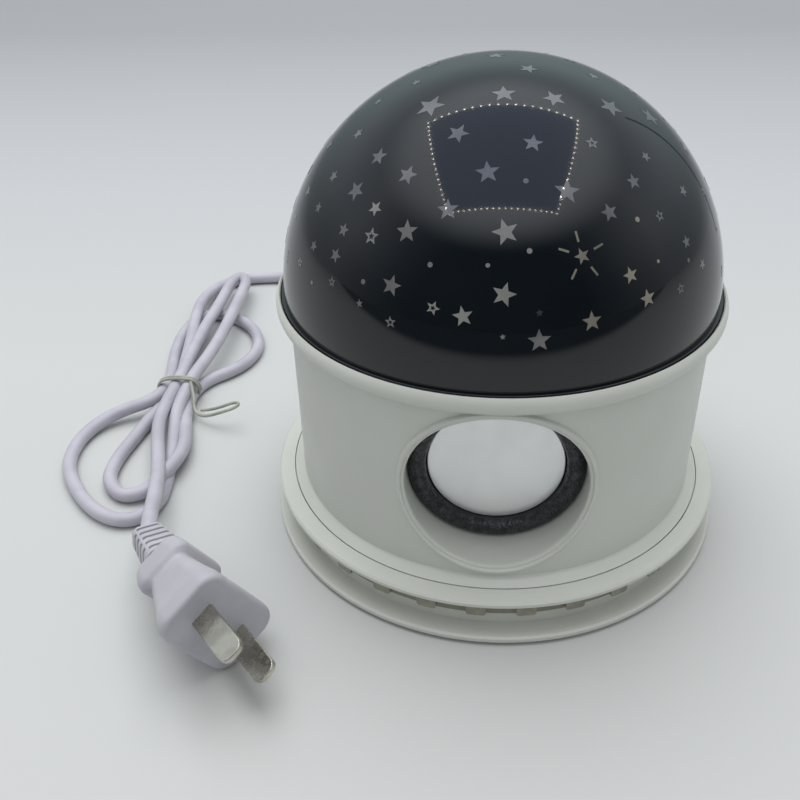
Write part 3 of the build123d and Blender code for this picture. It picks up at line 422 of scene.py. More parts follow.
def into_edit(kind: str = "VERT") -> None:
    """Opens the active piece in edit mode with all of it selected."""
    bpy.ops.object.mode_set(mode="EDIT")
    bpy.ops.mesh.select_mode(type=kind)
    bpy.ops.mesh.select_all(action="SELECT")


def select_where(piece: Object, wanted: Callable[[Vector], bool]) -> None:
    """Selects the vertices of a piece in edit mode by their place.

    Args:
        piece: The piece that is open in edit mode.
        wanted: Says of a vertex's place, in mm, whether it is selected.
    """
    bpy.ops.mesh.select_all(action="DESELECT")
    shape = bmesh.from_edit_mesh(piece.data)
    for vertex in shape.verts:
        vertex.select = wanted(vertex.co / MM)
    shape.select_flush(True)
    bmesh.update_edit_mesh(piece.data)


def modify(piece: Object, kind: str, **settings: object) -> None:
    """Adds a modifier to a piece and applies it.

    Args:
        piece: The piece to change.
        kind: The modifier's type.
        **settings: Its settings by name.
    """
    take(piece)
    added = piece.modifiers.new(kind.lower(), kind)
    for setting, value in settings.items():
        setattr(added, setting, value)
    bpy.ops.object.modifier_apply(modifier=added.name)


def soften(piece: Object, width: float, segments: int = 3, sharpest: float = 30.0) -> None:
    """Rounds the sharp edges of a piece by a width in mm."""
    modify(
        piece, "BEVEL", width=width * MM, segments=segments, limit_method="ANGLE",
        angle_limit=math.radians(sharpest), use_clamp_overlap=True,
    )


def settle(piece: Object, smooth: float = SMOOTH) -> Object:
    """Puts a piece's place into its mesh, closes it, turns its faces out and smooths it.

    Args:
        piece: The piece to settle.
        smooth: Largest angle between two faces that still look like one surface, in degrees.

    Returns:
        The same piece.
    """
    take(piece)
    bpy.ops.object.transform_apply(location=True, rotation=True, scale=True)
    into_edit()
    bpy.ops.mesh.remove_doubles(threshold=MELT)
    bpy.ops.mesh.normals_make_consistent(inside=False)
    bpy.ops.object.mode_set(mode="OBJECT")
    bpy.ops.object.shade_smooth_by_angle(angle=math.radians(smooth))
    return piece


def place(piece: Object, axes: Matrix, at: Vector) -> None:
    """Turns and moves a piece, and applies that to its mesh.

    Args:
        piece: The piece, still at the origin.
        axes: Its own axes as a matrix of three columns.
        at: Where its own origin goes, in metres.
    """
    piece.matrix_world = Matrix.Translation(at) @ axes.to_4x4()
    take(piece)
    bpy.ops.object.transform_apply(location=True, rotation=True, scale=True)


def spare(piece: Object, move: Matrix) -> Object:
    """Copies a piece with a mesh of its own.

    Args:
        piece: The piece that is modelled once.
        move: Where the copy stands.

    Returns:
        The copy.
    """
    copy = piece.copy()
    copy.data = piece.data.copy()
    bpy.context.scene.collection.objects.link(copy)
    copy.matrix_world = move
    return copy


def join(pieces: list[Object], name: str) -> Object:
    """Makes one piece of several, each with its place in the mesh.

    Args:
        pieces: The pieces to join.
        name: What the whole is called.

    Returns:
        The joined piece.
    """
    pick_nothing()
    for piece in pieces:
        piece.select_set(True)
    bpy.context.view_layer.objects.active = pieces[0]
    bpy.ops.object.transform_apply(location=True, rotation=True, scale=True)
    if len(pieces) > 1:
        bpy.ops.object.join()
    whole = bpy.context.view_layer.objects.active
    whole.name = name
    return whole


def scrap(pieces: Iterable[Object]) -> None:
    """Takes away pieces that were only modelled to be copied."""
    for piece in list(pieces):
        bpy.data.objects.remove(piece)


def fit(piece: Object, body: str, finish: Finish, nodes: tuple[str, ...] = ()) -> Object:
    """Dresses a piece, hands it to the body that it moves with, and logs it.

    Args:
        piece: The finished piece.
        body: The body of the frame that it rides on.
        finish: The finish.
        nodes: The solids that it stands for.

    Returns:
        The same piece.
    """
    finish.dress(piece)
    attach(piece, body)
    if nodes:
        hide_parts(*nodes)
    LOG.info("%s rides on %s as %s", piece.name, body, finish.name)
    return piece


def arc(centre: Flat, radius: float, start: float, stop: float, steps: int) -> list[Flat]:
    """Gives points along an arc.

    Args:
        centre: The arc's centre, in mm.
        radius: Its radius, in mm.
        start: Angle of its first point, in degrees.
        stop: Angle of its last point, in degrees.
        steps: How many steps it takes between the two.

    Returns:
        The points, in mm.
    """
    turns = [math.radians(start + (stop - start) * step / steps) for step in range(steps + 1)]
    return [(centre[0] + radius * math.cos(turn), centre[1] + radius * math.sin(turn)) for turn in turns]


def bend_wire(name: str, route: list[Vector], thick: float, sides: int, steps: int, closed: bool) -> Object:
    """Bends a round wire along a route.

    Args:
        name: What the wire is called.
        route: Its points, in metres.
        thick: Its diameter, in mm.
        sides: How finely it is round.
        steps: How finely it is bent between two points.
        closed: Whether it closes on itself.

    Returns:
        The wire as a curve.
    """
    line = bpy.data.curves.new(name, "CURVE")
    line.dimensions = "3D"
    line.bevel_depth = thick / 2 * MM
    line.bevel_resolution = sides
    line.resolution_u = steps
    line.use_fill_caps = not closed
    spline = line.splines.new("NURBS")
    spline.points.add(len(route) - 1)
    for point, at in zip(spline.points, route):
        point.co = (*at, 1)
    spline.order_u = 3
    spline.use_cyclic_u = closed
    spline.use_endpoint_u = not closed
    wire = bpy.data.objects.new(name, line)
    bpy.context.scene.collection.objects.link(wire)
    return wire


@dataclass(frozen=True)
class Lathe:
    """Turns a profile about the upright axis, one ring after another."""

    segments: int = 160

    def turn(self, name: str, profile: list[Flat], looped: bool = False) -> Object:
        """Makes a closed turned piece.

        Args:
            name: What the piece is called.
            profile: Radius and height of each ring, in mm. Both its ends lie near the axis, unless it is
                looped.
            looped: Whether the last ring meets the first, as round a hollow ring.

        Returns:
            The piece, on the upright axis.
        """
        pick_nothing()
        radius, height = profile[0]
        bpy.ops.mesh.primitive_circle_add(
            vertices=self.segments, radius=radius * MM, fill_type="NOTHING" if looped else "TRIFAN"
        )
        piece = bpy.context.active_object
        piece.name = name
        into_edit()
        bpy.ops.transform.translate(value=(0, 0, height * MM))
        if not looped:
            bpy.ops.mesh.region_to_loop()
        for next_radius, next_height in profile[1:]:
            rise = (0, 0, (next_height - height) * MM)
            bpy.ops.mesh.extrude_edges_move(TRANSFORM_OT_translate={"value": rise})
            grow = next_radius / radius
            bpy.ops.transform.resize(value=(grow, grow, 1), center_override=(0, 0, 0))
            radius, height = next_radius, next_height
        if not looped:
            bpy.ops.mesh.edge_face_add()
            bpy.ops.mesh.poke()
        bpy.ops.object.mode_set(mode="OBJECT")
        return piece


FRONT_AXES = Matrix(((1, 0, 0), (0, 0, -1), (0, 1, 0)))


# ---------------------------------------------------------------- dome and its stars


class Star(Enum):
    """The marks that are printed on the dome."""

    SOLID = "s"
    FAINT = "f"
    OUTLINED = "o"
    RAYED = "r"
    DOT = "d"


Mark = tuple[float, float, float, Star]

# azimuth from the front towards +X, height above the dome's widest ring, outer radius in mm, kind
SKY = (
    (-129, 87, 2.4, "s"), (34, 81, 2.3, "s"), (83, 69, 1.7, "s"), (111, 73, 1.4, "f"), (-75, 68, 1.5, "f"),
    (-80, 58, 1.5, "f"), (-42, 64, 3.6, "s"), (-2, 71, 2.9, "s"), (29, 68, 2.7, "s"), (57, 61, 3.1, "s"),
    (76, 53, 3.0, "f"), (-67, 50, 1.7, "s"), (-20, 58, 2.6, "s"), (10, 56, 2.3, "s"), (33, 54, 1.6, "o"),
    (-47, 48, 2.3, "s"), (-82, 42, 1.8, "s"), (-6, 49, 2.7, "s"), (52, 47, 1.4, "s"), (6, 47, 0.6, "d"),
    (-32, 46, 2.4, "s"), (-62, 39, 1.7, "s"), (41, 43, 1.9, "s"), (18, 44, 2.9, "s"), (-48, 39, 2.5, "s"),
    (60, 36, 1.6, "s"), (-61, 31, 1.5, "s"), (-38, 37, 1.8, "s"), (-16, 40, 2.4, "s"), (29, 38, 2.1, "s"),
    (37, 35, 0.6, "d"), (45, 34, 1.4, "o"), (0, 36, 2.9, "s"), (-26, 34, 2.6, "s"), (-46, 30, 1.7, "s"),
    (-36, 31, 2.0, "o"), (52, 26, 1.6, "s"), (19, 30, 1.8, "r"), (-56, 23, 1.5, "s"), (6, 32, 0.6, "d"),
    (-46, 24, 1.8, "s"), (-18, 28, 0.6, "d"), (-4, 29, 0.5, "d"), (40, 25, 0.4, "d"), (51, 22, 0.5, "d"),
    (57, 19, 1.5, "s"), (-61, 17, 1.4, "o"), (31, 24, 1.9, "s"), (-27, 22, 2.4, "s"), (-45, 18, 1.3, "o"),
    (-35, 21, 0.6, "d"), (-53, 15, 0.5, "d"), (0, 23, 2.7, "s"), (35, 18, 2.1, "s"), (46, 17, 1.4, "o"),
    (-16, 19, 1.6, "o"), (-35, 16, 1.0, "s"), (-9, 18, 2.3, "s"), (8, 19, 0.9, "f"), (20, 16, 2.3, "s"),
    (-26, 14, 1.4, "o"), (0, 14, 0.7, "s"), (8, 13, 2.6, "s"),
)


@dataclass
class Dome:
    """The black dome with its lip, and the stars printed on it."""

    radius: float = 56.6
    wall: float = 1.6
    centre_z: float = 70.6
    lip_radius: float = 57.3
    lip_bottom: float = 69.4
    lip_top: float = 70.9
    rounding: float = 0.3
    # height of the ring that a fan of faces closes at the crown, in degrees
    crown: float = 89.2
    segments: int = 192
    outer_steps: int = 60
    inner_steps: int = 36
    edge_steps: int = 4
    print_proud: float = 0.05
    print_thick: float = 0.2
    # shapes of the marks, as shares of their radius
    tips: int = 5
    waist: float = 0.43
    outline: float = 0.2
    dot_corners: int = 9
    ray: Flat = (1.3, 0.26)
    ray_out: float = 2.3
    ray_turns: tuple[int, ...] = (80, 4, -73, 220, 139)
    # each mark is tilted by this many degrees more than the one before, within plus or minus half the span
    tilt_step: int = 37
    tilt_span: int = 41
    # the staggered rows on the far side: their heights in degrees, and what their marks are by turns
    rows: tuple[int, ...] = (13, 22, 31, 40, 50, 60, 71)
    row_step: float = 11.5
    row_sizes: tuple[float, ...] = (2.3, 1.5, 1.9, 0.6, 2.6, 1.4, 1.7, 0.5)
    row_kinds: str = "sosdsosd"
    row_shift: int = 3
    sway: float = 2.0
    sway_pace: float = 1.7
    clearance: float = 9.0
    dim_above: float = 37.0
    dim_beyond: float = 42.0
    tan_from: float = 12.0
    prints: dict[str, Finish] = field(
        default_factory=lambda: {
            "pale_stars": PRINT, "tan_stars": PRINT_TAN, "dim_stars": PRINT_DIM, "faint_stars": PRINT_FAINT,
        }
    )

    def build(self) -> None:
        """Makes the shell and its print."""
        fit(self.shell(), "dome", DOME_BLACK, ("dome",))
        sky = [(azimuth, height, size, Star(kind)) for azimuth, height, size, kind in SKY]
        sky += self.far_side(sky)
        for name, finish in self.prints.items():
            marks = [mark for mark in sky if self.ink(mark) == name]
            fit(self.print_stars(name, marks), "dome", finish)

    def ink(self, mark: Mark) -> str:
        """Tells which of the prints a mark belongs to, by its kind and its place.

        Args:
            mark: The mark.

        Returns:
            The print's name.
        """
        azimuth, height, _, kind = mark
        if kind is Star.FAINT:
            return "faint_stars"
        if height > self.dim_above or abs(azimuth) > self.dim_beyond:
            return "dim_stars"
        return "tan_stars" if azimuth > self.tan_from else "pale_stars"

    def shell(self) -> Object:
        """Turns the shell from the crown down to the lip and up inside.

        Returns:
            The shell.
        """
        seat = math.degrees(math.asin((self.lip_top - self.centre_z) / self.radius))
        inner = self.radius - self.wall
        edge = self.lip_radius - self.rounding
        profile = arc((0, self.centre_z), self.radius, self.crown, seat, self.outer_steps)
        profile += arc((edge, self.lip_top - self.rounding), self.rounding, 90, 0, self.edge_steps)
        profile += arc((edge, self.lip_bottom + self.rounding), self.rounding, 0, -90, self.edge_steps)
        profile += [(inner + self.rounding, self.lip_bottom), (inner, self.lip_bottom + self.rounding)]
        profile += arc((0, self.centre_z), inner, 0, self.crown, self.inner_steps)
        return settle(Lathe(self.segments).turn("dome_shell", profile), SMOOTH_ROUND)

    def far_side(self, near: list[Mark]) -> list[Mark]:
        """Fills the rest of the dome with staggered rows of the same marks.

        Args:
            near: The marks that are there already.

        Returns:
            The marks to add, each clear of all that are there.
        """
        added: list[Mark] = []
        for row, height in enumerate(self.rows):
            around = math.tau * self.radius * math.cos(math.radians(height))
            count = max(1, round(around / self.row_step))
            for step in range(count):
                azimuth = 360 * (step + 0.5 * (row % 2)) / count - 180
                turn = (self.row_shift * row + step) % len(self.row_sizes)
                lean = self.sway * math.sin(self.sway_pace * step + row)
                mark = (azimuth, height + lean, self.row_sizes[turn], Star(self.row_kinds[turn]))
                if all(self.apart(mark, other) > self.clearance for other in near):
                    added.append(mark)
        return added

    def normal(self, azimuth: float, height: float) -> Vector:
        """Gives the direction of a place on the dome from its centre."""
        turn, rise = math.radians(azimuth), math.radians(height)
        return Vector((math.sin(turn) * math.cos(rise), -math.cos(turn) * math.cos(rise), math.sin(rise)))

    def apart(self, one: Mark, other: Mark) -> float:
        """Gives the distance between two marks along a straight line, in mm."""
        return (self.normal(one[0], one[1]) - self.normal(other[0], other[1])).length * self.radius

    def masters(self) -> dict[Star, Object]:
        """Models one mark of each kind, 1 mm in radius, with a tip along +Y.

        Returns:
            The marks by kind.
        """
        made: dict[Star, Object] = {}
        for kind in (Star.SOLID, Star.OUTLINED, Star.DOT):
            pick_nothing()
            corners = self.dot_corners if kind is Star.DOT else 2 * self.tips
            bpy.ops.mesh.primitive_circle_add(vertices=corners, radius=MM, fill_type="NGON")
            piece = bpy.context.active_object
            into_edit()
            if kind is not Star.DOT:
                turn = math.tau / corners
                select_where(piece, lambda at: round(math.atan2(at.x, at.y) / turn) % 2 == 1)
                bpy.ops.transform.resize(value=(self.waist,) * 3, center_override=(0, 0, 0))
            bpy.ops.mesh.select_mode(type="FACE")
            bpy.ops.mesh.select_all(action="SELECT")
            if kind is Star.OUTLINED:
                bpy.ops.mesh.inset(thickness=self.outline * MM)
                bpy.ops.mesh.delete(type="FACE")
            else:
                bpy.ops.mesh.poke()
            bpy.ops.object.mode_set(mode="OBJECT")
            made[kind] = piece
        made[Star.FAINT] = made[Star.SOLID]
        made[Star.RAYED] = self.rayed(made[Star.SOLID])
        return made

    def rayed(self, star: Object) -> Object:
        """Models the star with five loose rays round it.

        Args:
            star: The plain star.

        Returns:
            The star with its rays, as one piece.
        """
        parts = [spare(star, Matrix.Identity(4))]
        for turn in self.ray_turns:
            pick_nothing()
            bpy.ops.mesh.primitive_plane_add(size=MM)
            ray = bpy.context.active_object
            into_edit()
            bpy.ops.transform.resize(value=(*self.ray, 1), center_override=(0, 0, 0))
            bpy.ops.transform.translate(value=(self.ray_out * MM, 0, 0))
            bpy.ops.mesh.subdivide(number_cuts=1)
            bpy.ops.object.mode_set(mode="OBJECT")
            ray.rotation_euler.z = math.radians(turn)
            parts.append(ray)
        return join(parts, "rayed_star")

    def print_stars(self, name: str, marks: list[Mark]) -> Object:
        """Lays marks on the dome as one thin print.

        Args:
            name: What the print is called.
            marks: Azimuth, height, size and kind of each mark.

        Returns:
            The print, bent to the dome.
        """
        masters = self.masters()
        copies = []
        for number, (azimuth, height, size, kind) in enumerate(marks):
            out = self.normal(azimuth, height)
            turn = math.radians(azimuth)
            along = Vector((math.cos(turn), math.sin(turn), 0))
            axes = Matrix((along, out.cross(along), out)).transposed().to_4x4()
            lean = self.tilt_step * number % self.tilt_span - self.tilt_span // 2
            tilt = Matrix.Rotation(math.radians(lean), 4, "Z")
            move = Matrix.Translation(out * self.radius * MM) @ axes @ tilt @ Matrix.Scale(size, 4)
            copies.append(spare(masters[kind], move))
        stars = join(copies, name)
        scrap(set(masters.values()))
        skin = (self.radius + self.print_proud) * MM
        modify(stars, "CAST", factor=1.0, use_radius_as_size=False, size=skin)
        modify(stars, "SOLIDIFY", thickness=self.print_thick * MM, offset=-1.0)
        stars.location.z = self.centre_z * MM
        take(stars)
        bpy.ops.object.transform_apply(location=True, rotation=True, scale=True)
        bpy.ops.object.shade_smooth_by_angle(angle=math.radians(SMOOTH))
        return stars


# ---------------------------------------------------------------- speaker


@dataclass
class Speaker:
    """The speaker's opening with its raised bead, the rolled surround and the flat disc."""

    axis_z: float = 41.6
    drum_radius: float = 55.6
    tunnel_radius: float = 21.95
    tunnel_wall: float = 0.9
    tunnel_back: float = 43.95
    # radius of each ring over the bead, and how far it stands out of the drum
    bead: tuple[Flat, ...] = (
        (24.1, 0.03), (24.07, 0.55), (23.93, 0.9), (23.6, 1.05), (23.25, 1.0), (23.02, 0.8), (22.93, 0.45),
        (22.75, 0.42), (22.45, 0.42), (22.2, 0.22), (22.03, -0.15), (21.95, -0.9),
    )
    # all that stands this far in front of the tunnel's back is bent round the drum
    straight: float = 1.0
    segments: int = 128
    outer_steps: int = 20
    inner_steps: int = 12
    edge_steps: int = 4
    roll_radius: float = 19.4
    roll_half: float = 2.2
    roll_thick: float = 0.6
    root: float = 43.9
    disc_radius: float = 16.9
    disc_face: float = 43.0
    disc_thick: float = 0.8
    disc_round: float = 0.25
    disc_rings: tuple[float, ...] = (0.5, 8, 15)

    def build(self) -> None:
        """Makes the opening, the surround and the disc."""
        fit(self.opening(), "base", WHITE, ("speaker_bezel",))
        fit(self.surround(), "base", SURROUND, ("speaker_surround",))
        fit(self.disc(), "cone", DISC, ("speaker_cone",))

    def face_front(self, piece: Object) -> Object:
        """Turns a piece from the upright axis to the speaker's axis."""
        place(piece, FRONT_AXES, mm((0, 0, self.axis_z)))
        return settle(piece, SMOOTH_ROUND)

    def opening(self) -> Object:
        """Turns the tunnel with the bead at its mouth, and bends the bead round the drum.

        Returns:
            The opening.
        """
        outside = self.tunnel_radius + self.tunnel_wall
        profile = [(outside, self.tunnel_back), (outside, self.drum_radius + self.bead[-1][1])]
        profile += [(radius, self.drum_radius + height) for radius, height in self.bead]
        profile += [(self.tunnel_radius, self.tunnel_back), (outside, self.tunnel_back)]
        mouth = Lathe(self.segments).turn("speaker_mouth", profile, looped=True)
        drum = self.drum_radius * MM
        for vertex in mouth.data.vertices:
            if vertex.co.z > (self.tunnel_back + self.straight) * MM:
                vertex.co.z += math.sqrt(drum**2 - vertex.co.x**2) - drum
        return self.face_front(mouth)

    def surround(self) -> Object:
        """Turns the half roll as a thin closed wall.

        Returns:
            The surround.
        """
        middle = (self.roll_radius, self.root)
        profile = arc(middle, self.roll_half, 0, 180, self.outer_steps)
        profile += arc(middle, self.roll_half - self.roll_thick, 180, 0, self.inner_steps)
        roll = Lathe(self.segments).turn("speaker_roll", profile + profile[:1], looped=True)
        return self.face_front(roll)

    def disc(self) -> Object:
        """Turns the disc with a softened rim.

        Returns:
            The disc.
        """
        middle = (self.disc_radius - self.disc_round, self.disc_face - self.disc_round)
        back = self.disc_face - self.disc_thick
        profile = [(radius, self.disc_face) for radius in self.disc_rings]
        profile += arc(middle, self.disc_round, 90, 0, self.edge_steps)
        profile += [(self.disc_radius, back), *((radius, back) for radius in self.disc_rings[1::-1])]
        return self.face_front(Lathe(self.segments).turn("speaker_disc", profile))


# ---------------------------------------------------------------- cord, tie and plug


@dataclass
class MainsCord:
    """The mains cord on the floor, from the gland through the tied hank to the plug."""

    diameter: float = 4.4
    exit_at: Point = (-14.39, 53.71, 24.0)
    lead: tuple[Point, ...] = (
        (-15.5, 58.0, 24), (-19.57, 73.02, 24), (-22.93, 85.58, 24), (-27.5, 98.5, 20), (-34.5, 111.5, 12.5),
        (-44.5, 122.8, 5.6), (-58, 130.6, 2.6), (-73.5, 133.9, 2.3),
    )
    down_outside: tuple[Point, ...] = (
        (-90.2, 134.5, 2.3), (-102.9, 133, 2.3), (-111, 129.2, 2.5), (-115, 121, 3.2), (-116.4, 111, 4.9),
        (-116, 98.5, 6.7), (-114, 84, 6.6), (-112.2, 70, 5.4), (-111.4, 57, 3.4), (-109.3, 43, 2.6),
    )
    low_loop: tuple[Point, ...] = (
        (-113.6, 35, 2.4), (-116.4, 20, 2.2), (-119.2, 5, 2.2), (-118.6, -6, 2.2), (-111.8, -13.6, 2.2),
        (-104.8, -12, 3.0), (-101.4, -7.5, 4.4), (-98.5, 1, 5.0), (-98.1, 10, 4.0), (-100.5, 19.7, 3.2),
        (-103.2, 28.9, 2.6), (-105, 43, 2.3),
    )
    high_loop: tuple[Point, ...] = (
        (-101.2, 52.6, 2.2), (-93.2, 59, 2.2), (-88.2, 68, 2.2), (-87.6, 78.4, 2.2), (-91.6, 89, 2.2),
        (-99.5, 97.4, 2.2), (-110.5, 101.6, 2.2), (-116.8, 97.6, 2.2), (-119.4, 86, 2.2), (-118.4, 70, 2.2),
        (-115.4, 56.5, 2.8), (-113.2, 43, 4.2),
    )
    wide_loop: tuple[Point, ...] = (
        (-116.0, 33.2, 5.6), (-124.5, 29.8, 4.2), (-131.4, 24.4, 2.8), (-135.2, 15, 2.2), (-134.6, 3, 2.2),
        (-129.2, -7.6, 2.2), (-119.6, -19, 2.2), (-110, -24.4, 2.2), (-102.6, -22.8, 2.2), (-99.2, -15, 2.2),
        (-99.8, -6, 2.2), (-101.6, 6, 2.2), (-104.0, 18, 3.0), (-106.0, 30, 5.2), (-104.9, 43, 6.8),
    )
    up_over: tuple[Point, ...] = (
        (-104.3, 50, 7.2), (-102.4, 58, 7.7), (-100.9, 69, 8.4), (-100.4, 80, 8.5), (-100.5, 91, 8.1),
        (-100.8, 104, 7.4), (-101.0, 114, 7.0), (-101.4, 121.5, 6.9), (-104.5, 126.2, 6.8),
        (-107.6, 121.5, 6.8),
    )
    down_to_plug: tuple[Point, ...] = (
        (-107.9, 110, 6.7), (-108.4, 97, 6.7), (-109.6, 82, 6.4), (-109.9, 66, 6.2), (-109, 43, 6.9),
        (-109.9, 30, 6.4), (-109.8, 22.5, 5.6), (-107.7, 13.1, 5.6), (-103.1, -0.7, 6.8), (-100, -11.3, 8.2),
        (-97.9, -20.8, 9.2), (-96.5, -28.6, 10.2), (-95.3, -33.5, 11.2), (-93.6, -40, 12.2),
        (-92.1, -42.6, 12.5),
    )
    # how finely the line is round and bent
    sides: int = 5
    steps: int = 10

    def build(self) -> Object:
        """Lays the cord as one smooth line.

        Returns:
            The cord.
        """
        pick_nothing()
        route = [mm(at) for at in self.route()]
        cord = bend_wire("mains_cord", route, self.diameter, self.sides, self.steps, closed=False)
        return fit(cord, "base", CORD_WHITE, ("cord_lead", "cord_hank", "cord_tail"))

    def route(self) -> tuple[Point, ...]:
        """Gives the whole route's points, in mm."""
        hank = self.down_outside + self.low_loop + self.high_loop + self.wide_loop
        return self.lead + hank + self.up_over + self.down_to_plug


@dataclass
class TwistTie:
    """The coated wire that holds the hank, with its twisted ends."""

    wire: float = 1.05
    band: tuple[Point, ...] = (
        (-116.4, 43.8, 2.2), (-116.2, 43.4, 6.2), (-113.4, 42.4, 9.0), (-108.6, 41.6, 9.9), (-103.6, 42, 9.6),
        (-101.6, 42.6, 7.4), (-101.6, 43.6, 2.4), (-105, 43.8, 0.4), (-111, 43.8, 0.4), (-115, 43.8, 0.5),
    )
    tail: tuple[Point, ...] = (
        (-103.4, 40.2, 9.4), (-101.6, 36.4, 6.0), (-101.2, 32.6, 3.2), (-98.4, 29.4, 2.6), (-94.6, 27.2, 4.2),
        (-90.2, 26.4, 6.2), (-86.0, 26.4, 7.8), (-83.6, 26.9, 9.0), (-84.0, 28.3, 9.4), (-86.8, 28.0, 8.9),
        (-90.6, 27.8, 7.3), (-94.8, 28.4, 5.8), (-97.4, 29.4, 5.0),
    )
    # how the two turns of the band stand beside each other
    turns: tuple[Point, ...] = ((0, -0.5, 0), (0.1, 0.55, 0.1))
    # how finely the wire is round and bent, and the angle in degrees up to which it looks smooth
    sides: int = 3
    steps: int = 6
    smooth: float = 60.0

    def build(self) -> Object:
        """Winds the band twice round the waist and bends the ends back.

        Returns:
            The tie.
        """
        wires = [self.wind("tie_band", self.band, shift, True) for shift in self.turns]
        wires.append(self.wind("tie_ends", self.tail, (0, 0, 0), False))
        tie = join(wires, "twist_tie")
        take(tie)
        bpy.ops.object.shade_smooth_by_angle(angle=math.radians(self.smooth))
        return fit(tie, "base", TIE_PALE, ("cord_tie",))

    def wind(self, name: str, route: tuple[Point, ...], shift: Point, closed: bool) -> Object:
        """Bends one wire along a route.

        Args:
            name: What the wire is called.
            route: Its points, in mm.
            shift: How far the whole wire is moved, in mm.
            closed: Whether it closes on itself.

        Returns:
            The wire as a mesh.
        """
        places = [mm(at) + mm(shift) for at in route]
        take(bend_wire(name, places, self.wire, self.sides, self.steps, closed))
        bpy.ops.object.convert(target="MESH")
        return bpy.context.view_layer.objects.active


@dataclass
class Plug:
    """The moulded plug with its two flat blades."""

    face_at: Point = (-65.1, -74.4, 15.1)
    heading: float = -49.6
    pitch: float = 3.5
    roll: float = 31.8
    # distance behind the face, half width of the section, half height
    sections: tuple[Point, ...] = (
        (0.0, 12.7, 9.0), (0.5, 13.3, 9.6), (1.4, 13.5, 9.8), (3, 13.4, 9.7), (4.5, 12.95, 9.4), (6, 12.4, 9),
        (8, 11.75, 8.5), (10, 11.1, 8), (12, 10.5, 7.55), (14, 10, 7.1), (16, 9.45, 6.65), (17.5, 9, 6.3),
        (18.7, 8.5, 5.9), (19.5, 8.55, 6.1), (20.1, 9.0, 7.1), (20.7, 9.4, 7.9), (21.5, 9.5, 8.2),
        (23.4, 9.4, 8.1), (25.5, 9.2, 7.3), (26.8, 8.5, 6.8), (28, 7.4, 6.3), (29, 6.7, 5.9), (30, 5.9, 5.4),
    )
    rounding: float = 4.4
    segments: int = 8
    sleeve_from: float = 29.6
    sleeve_to: float = 43.8
    # half width and half height where the sleeve starts and where it ends
    sleeve_base: Flat = (5.3, 5.8)
    sleeve_tip: Flat = (3.6, 4.1)
    sleeve_rounding: float = 2.8
    sleeve_segments: int = 5
    sleeve_roll: float = -10.0
    slot: float = 1.05
    slot_depth: float = 1.15
    slot_inset: float = 0.05
    # a slot takes in the faces whose normal has at least this share along its axis
    slot_reach: float = 0.85
    top_slots: tuple[float, ...] = (32.5, 35.2, 37.9, 40.6)
    side_slots: tuple[float, ...] = (31.2, 33.9, 36.6, 39.3, 41.9)
    blade: Point = (16.5, 6.35, 1.5)
    blade_pitch: float = 12.7
    blade_round: float = 2.4
    blade_root: float = 0.6
    # softened edges: width in mm, segments, and the angle in degrees from which an edge is softened
    grip_edge: tuple[float, int, float] = (0.9, 4, 16)
    sleeve_edge: tuple[float, int, float] = (0.16, 2, 32)
    blade_edge: tuple[float, int, float] = (0.22, 3, 40)

    def axes(self, roll: float) -> Matrix:
        """Gives the plug's own axes: thickness, length across and backwards.

        Args:
            roll: How far it is rolled about its length, in degrees.

        Returns:
            The three axes as columns.
        """
        heading, pitch, roll = (math.radians(turn) for turn in (self.heading, self.pitch, roll))
        level = math.cos(pitch)
        out = Vector((level * math.cos(heading), level * math.sin(heading), math.sin(pitch)))
        right = out.cross(Vector((0, 0, 1))).normalized()
        across = -math.cos(roll) * right.cross(out) - math.sin(roll) * right
        return Matrix((out.cross(across), across, -out)).transposed()

    def build(self) -> list[Object]:
        """Makes the grip, the slotted sleeve behind it and the blades.

        Returns:
            The three pieces.
        """
        grip = fit(self.grip(), "base", PLUG_WHITE, ("plug_body",))
        sleeve = fit(self.sleeve(), "base", PLUG_WHITE, ("plug_relief",))
        return [grip, sleeve, fit(self.blades(), "base", NICKEL, ("plug_blades",))]

    def draw_out(self, name: str, sections: list[Point], rounding: float, segments: int) -> Object:
        """Draws a piece out of a rounded rectangle, section by section.

        Args:
            name: What the piece is called.
            sections: Distance behind the face, half width and half height of each section, in mm.
            rounding: Radius of the rectangle's corners, in mm.
            segments: How many segments each corner has.

        Returns:
            The piece, open in edit mode.
        """
        pick_nothing()
        behind, half, side = sections[0]
        bpy.ops.mesh.primitive_plane_add(size=2 * MM)
        piece = bpy.context.active_object
        piece.name = name
        into_edit()
        bpy.ops.transform.resize(value=(side, half, 1), center_override=(0, 0, 0))
        bpy.ops.mesh.bevel(affect="VERTICES", offset=rounding * MM, segments=segments, profile=0.5)
        bpy.ops.transform.translate(value=(0, 0, behind * MM))
        bpy.ops.mesh.select_mode(type="FACE")
        bpy.ops.mesh.select_all(action="SELECT")
        for next_behind, next_half, next_side in sections[1:]:
            back = (0, 0, (next_behind - behind) * MM)
            bpy.ops.mesh.extrude_region_move(TRANSFORM_OT_translate={"value": back})
            size = (next_side / side, next_half / half, 1)
            bpy.ops.transform.resize(value=size, center_override=(0, 0, 0))
            behind, half, side = next_behind, next_half, next_side
        return piece

    def finish_moulding(self, piece: Object, edge: tuple[float, int, float], roll: float) -> Object:
        """Softens a piece's edges and puts it in its place.

        Args:
            piece: The piece, along the upright axis.
            edge: How its edges are softened.
            roll: How far it is rolled about its length, in degrees.

        Returns:
            The same piece.
        """
        settle(piece)
        soften(piece, *edge)
        place(piece, self.axes(roll), mm(self.face_at))
        return settle(piece, SMOOTH_ROUND)

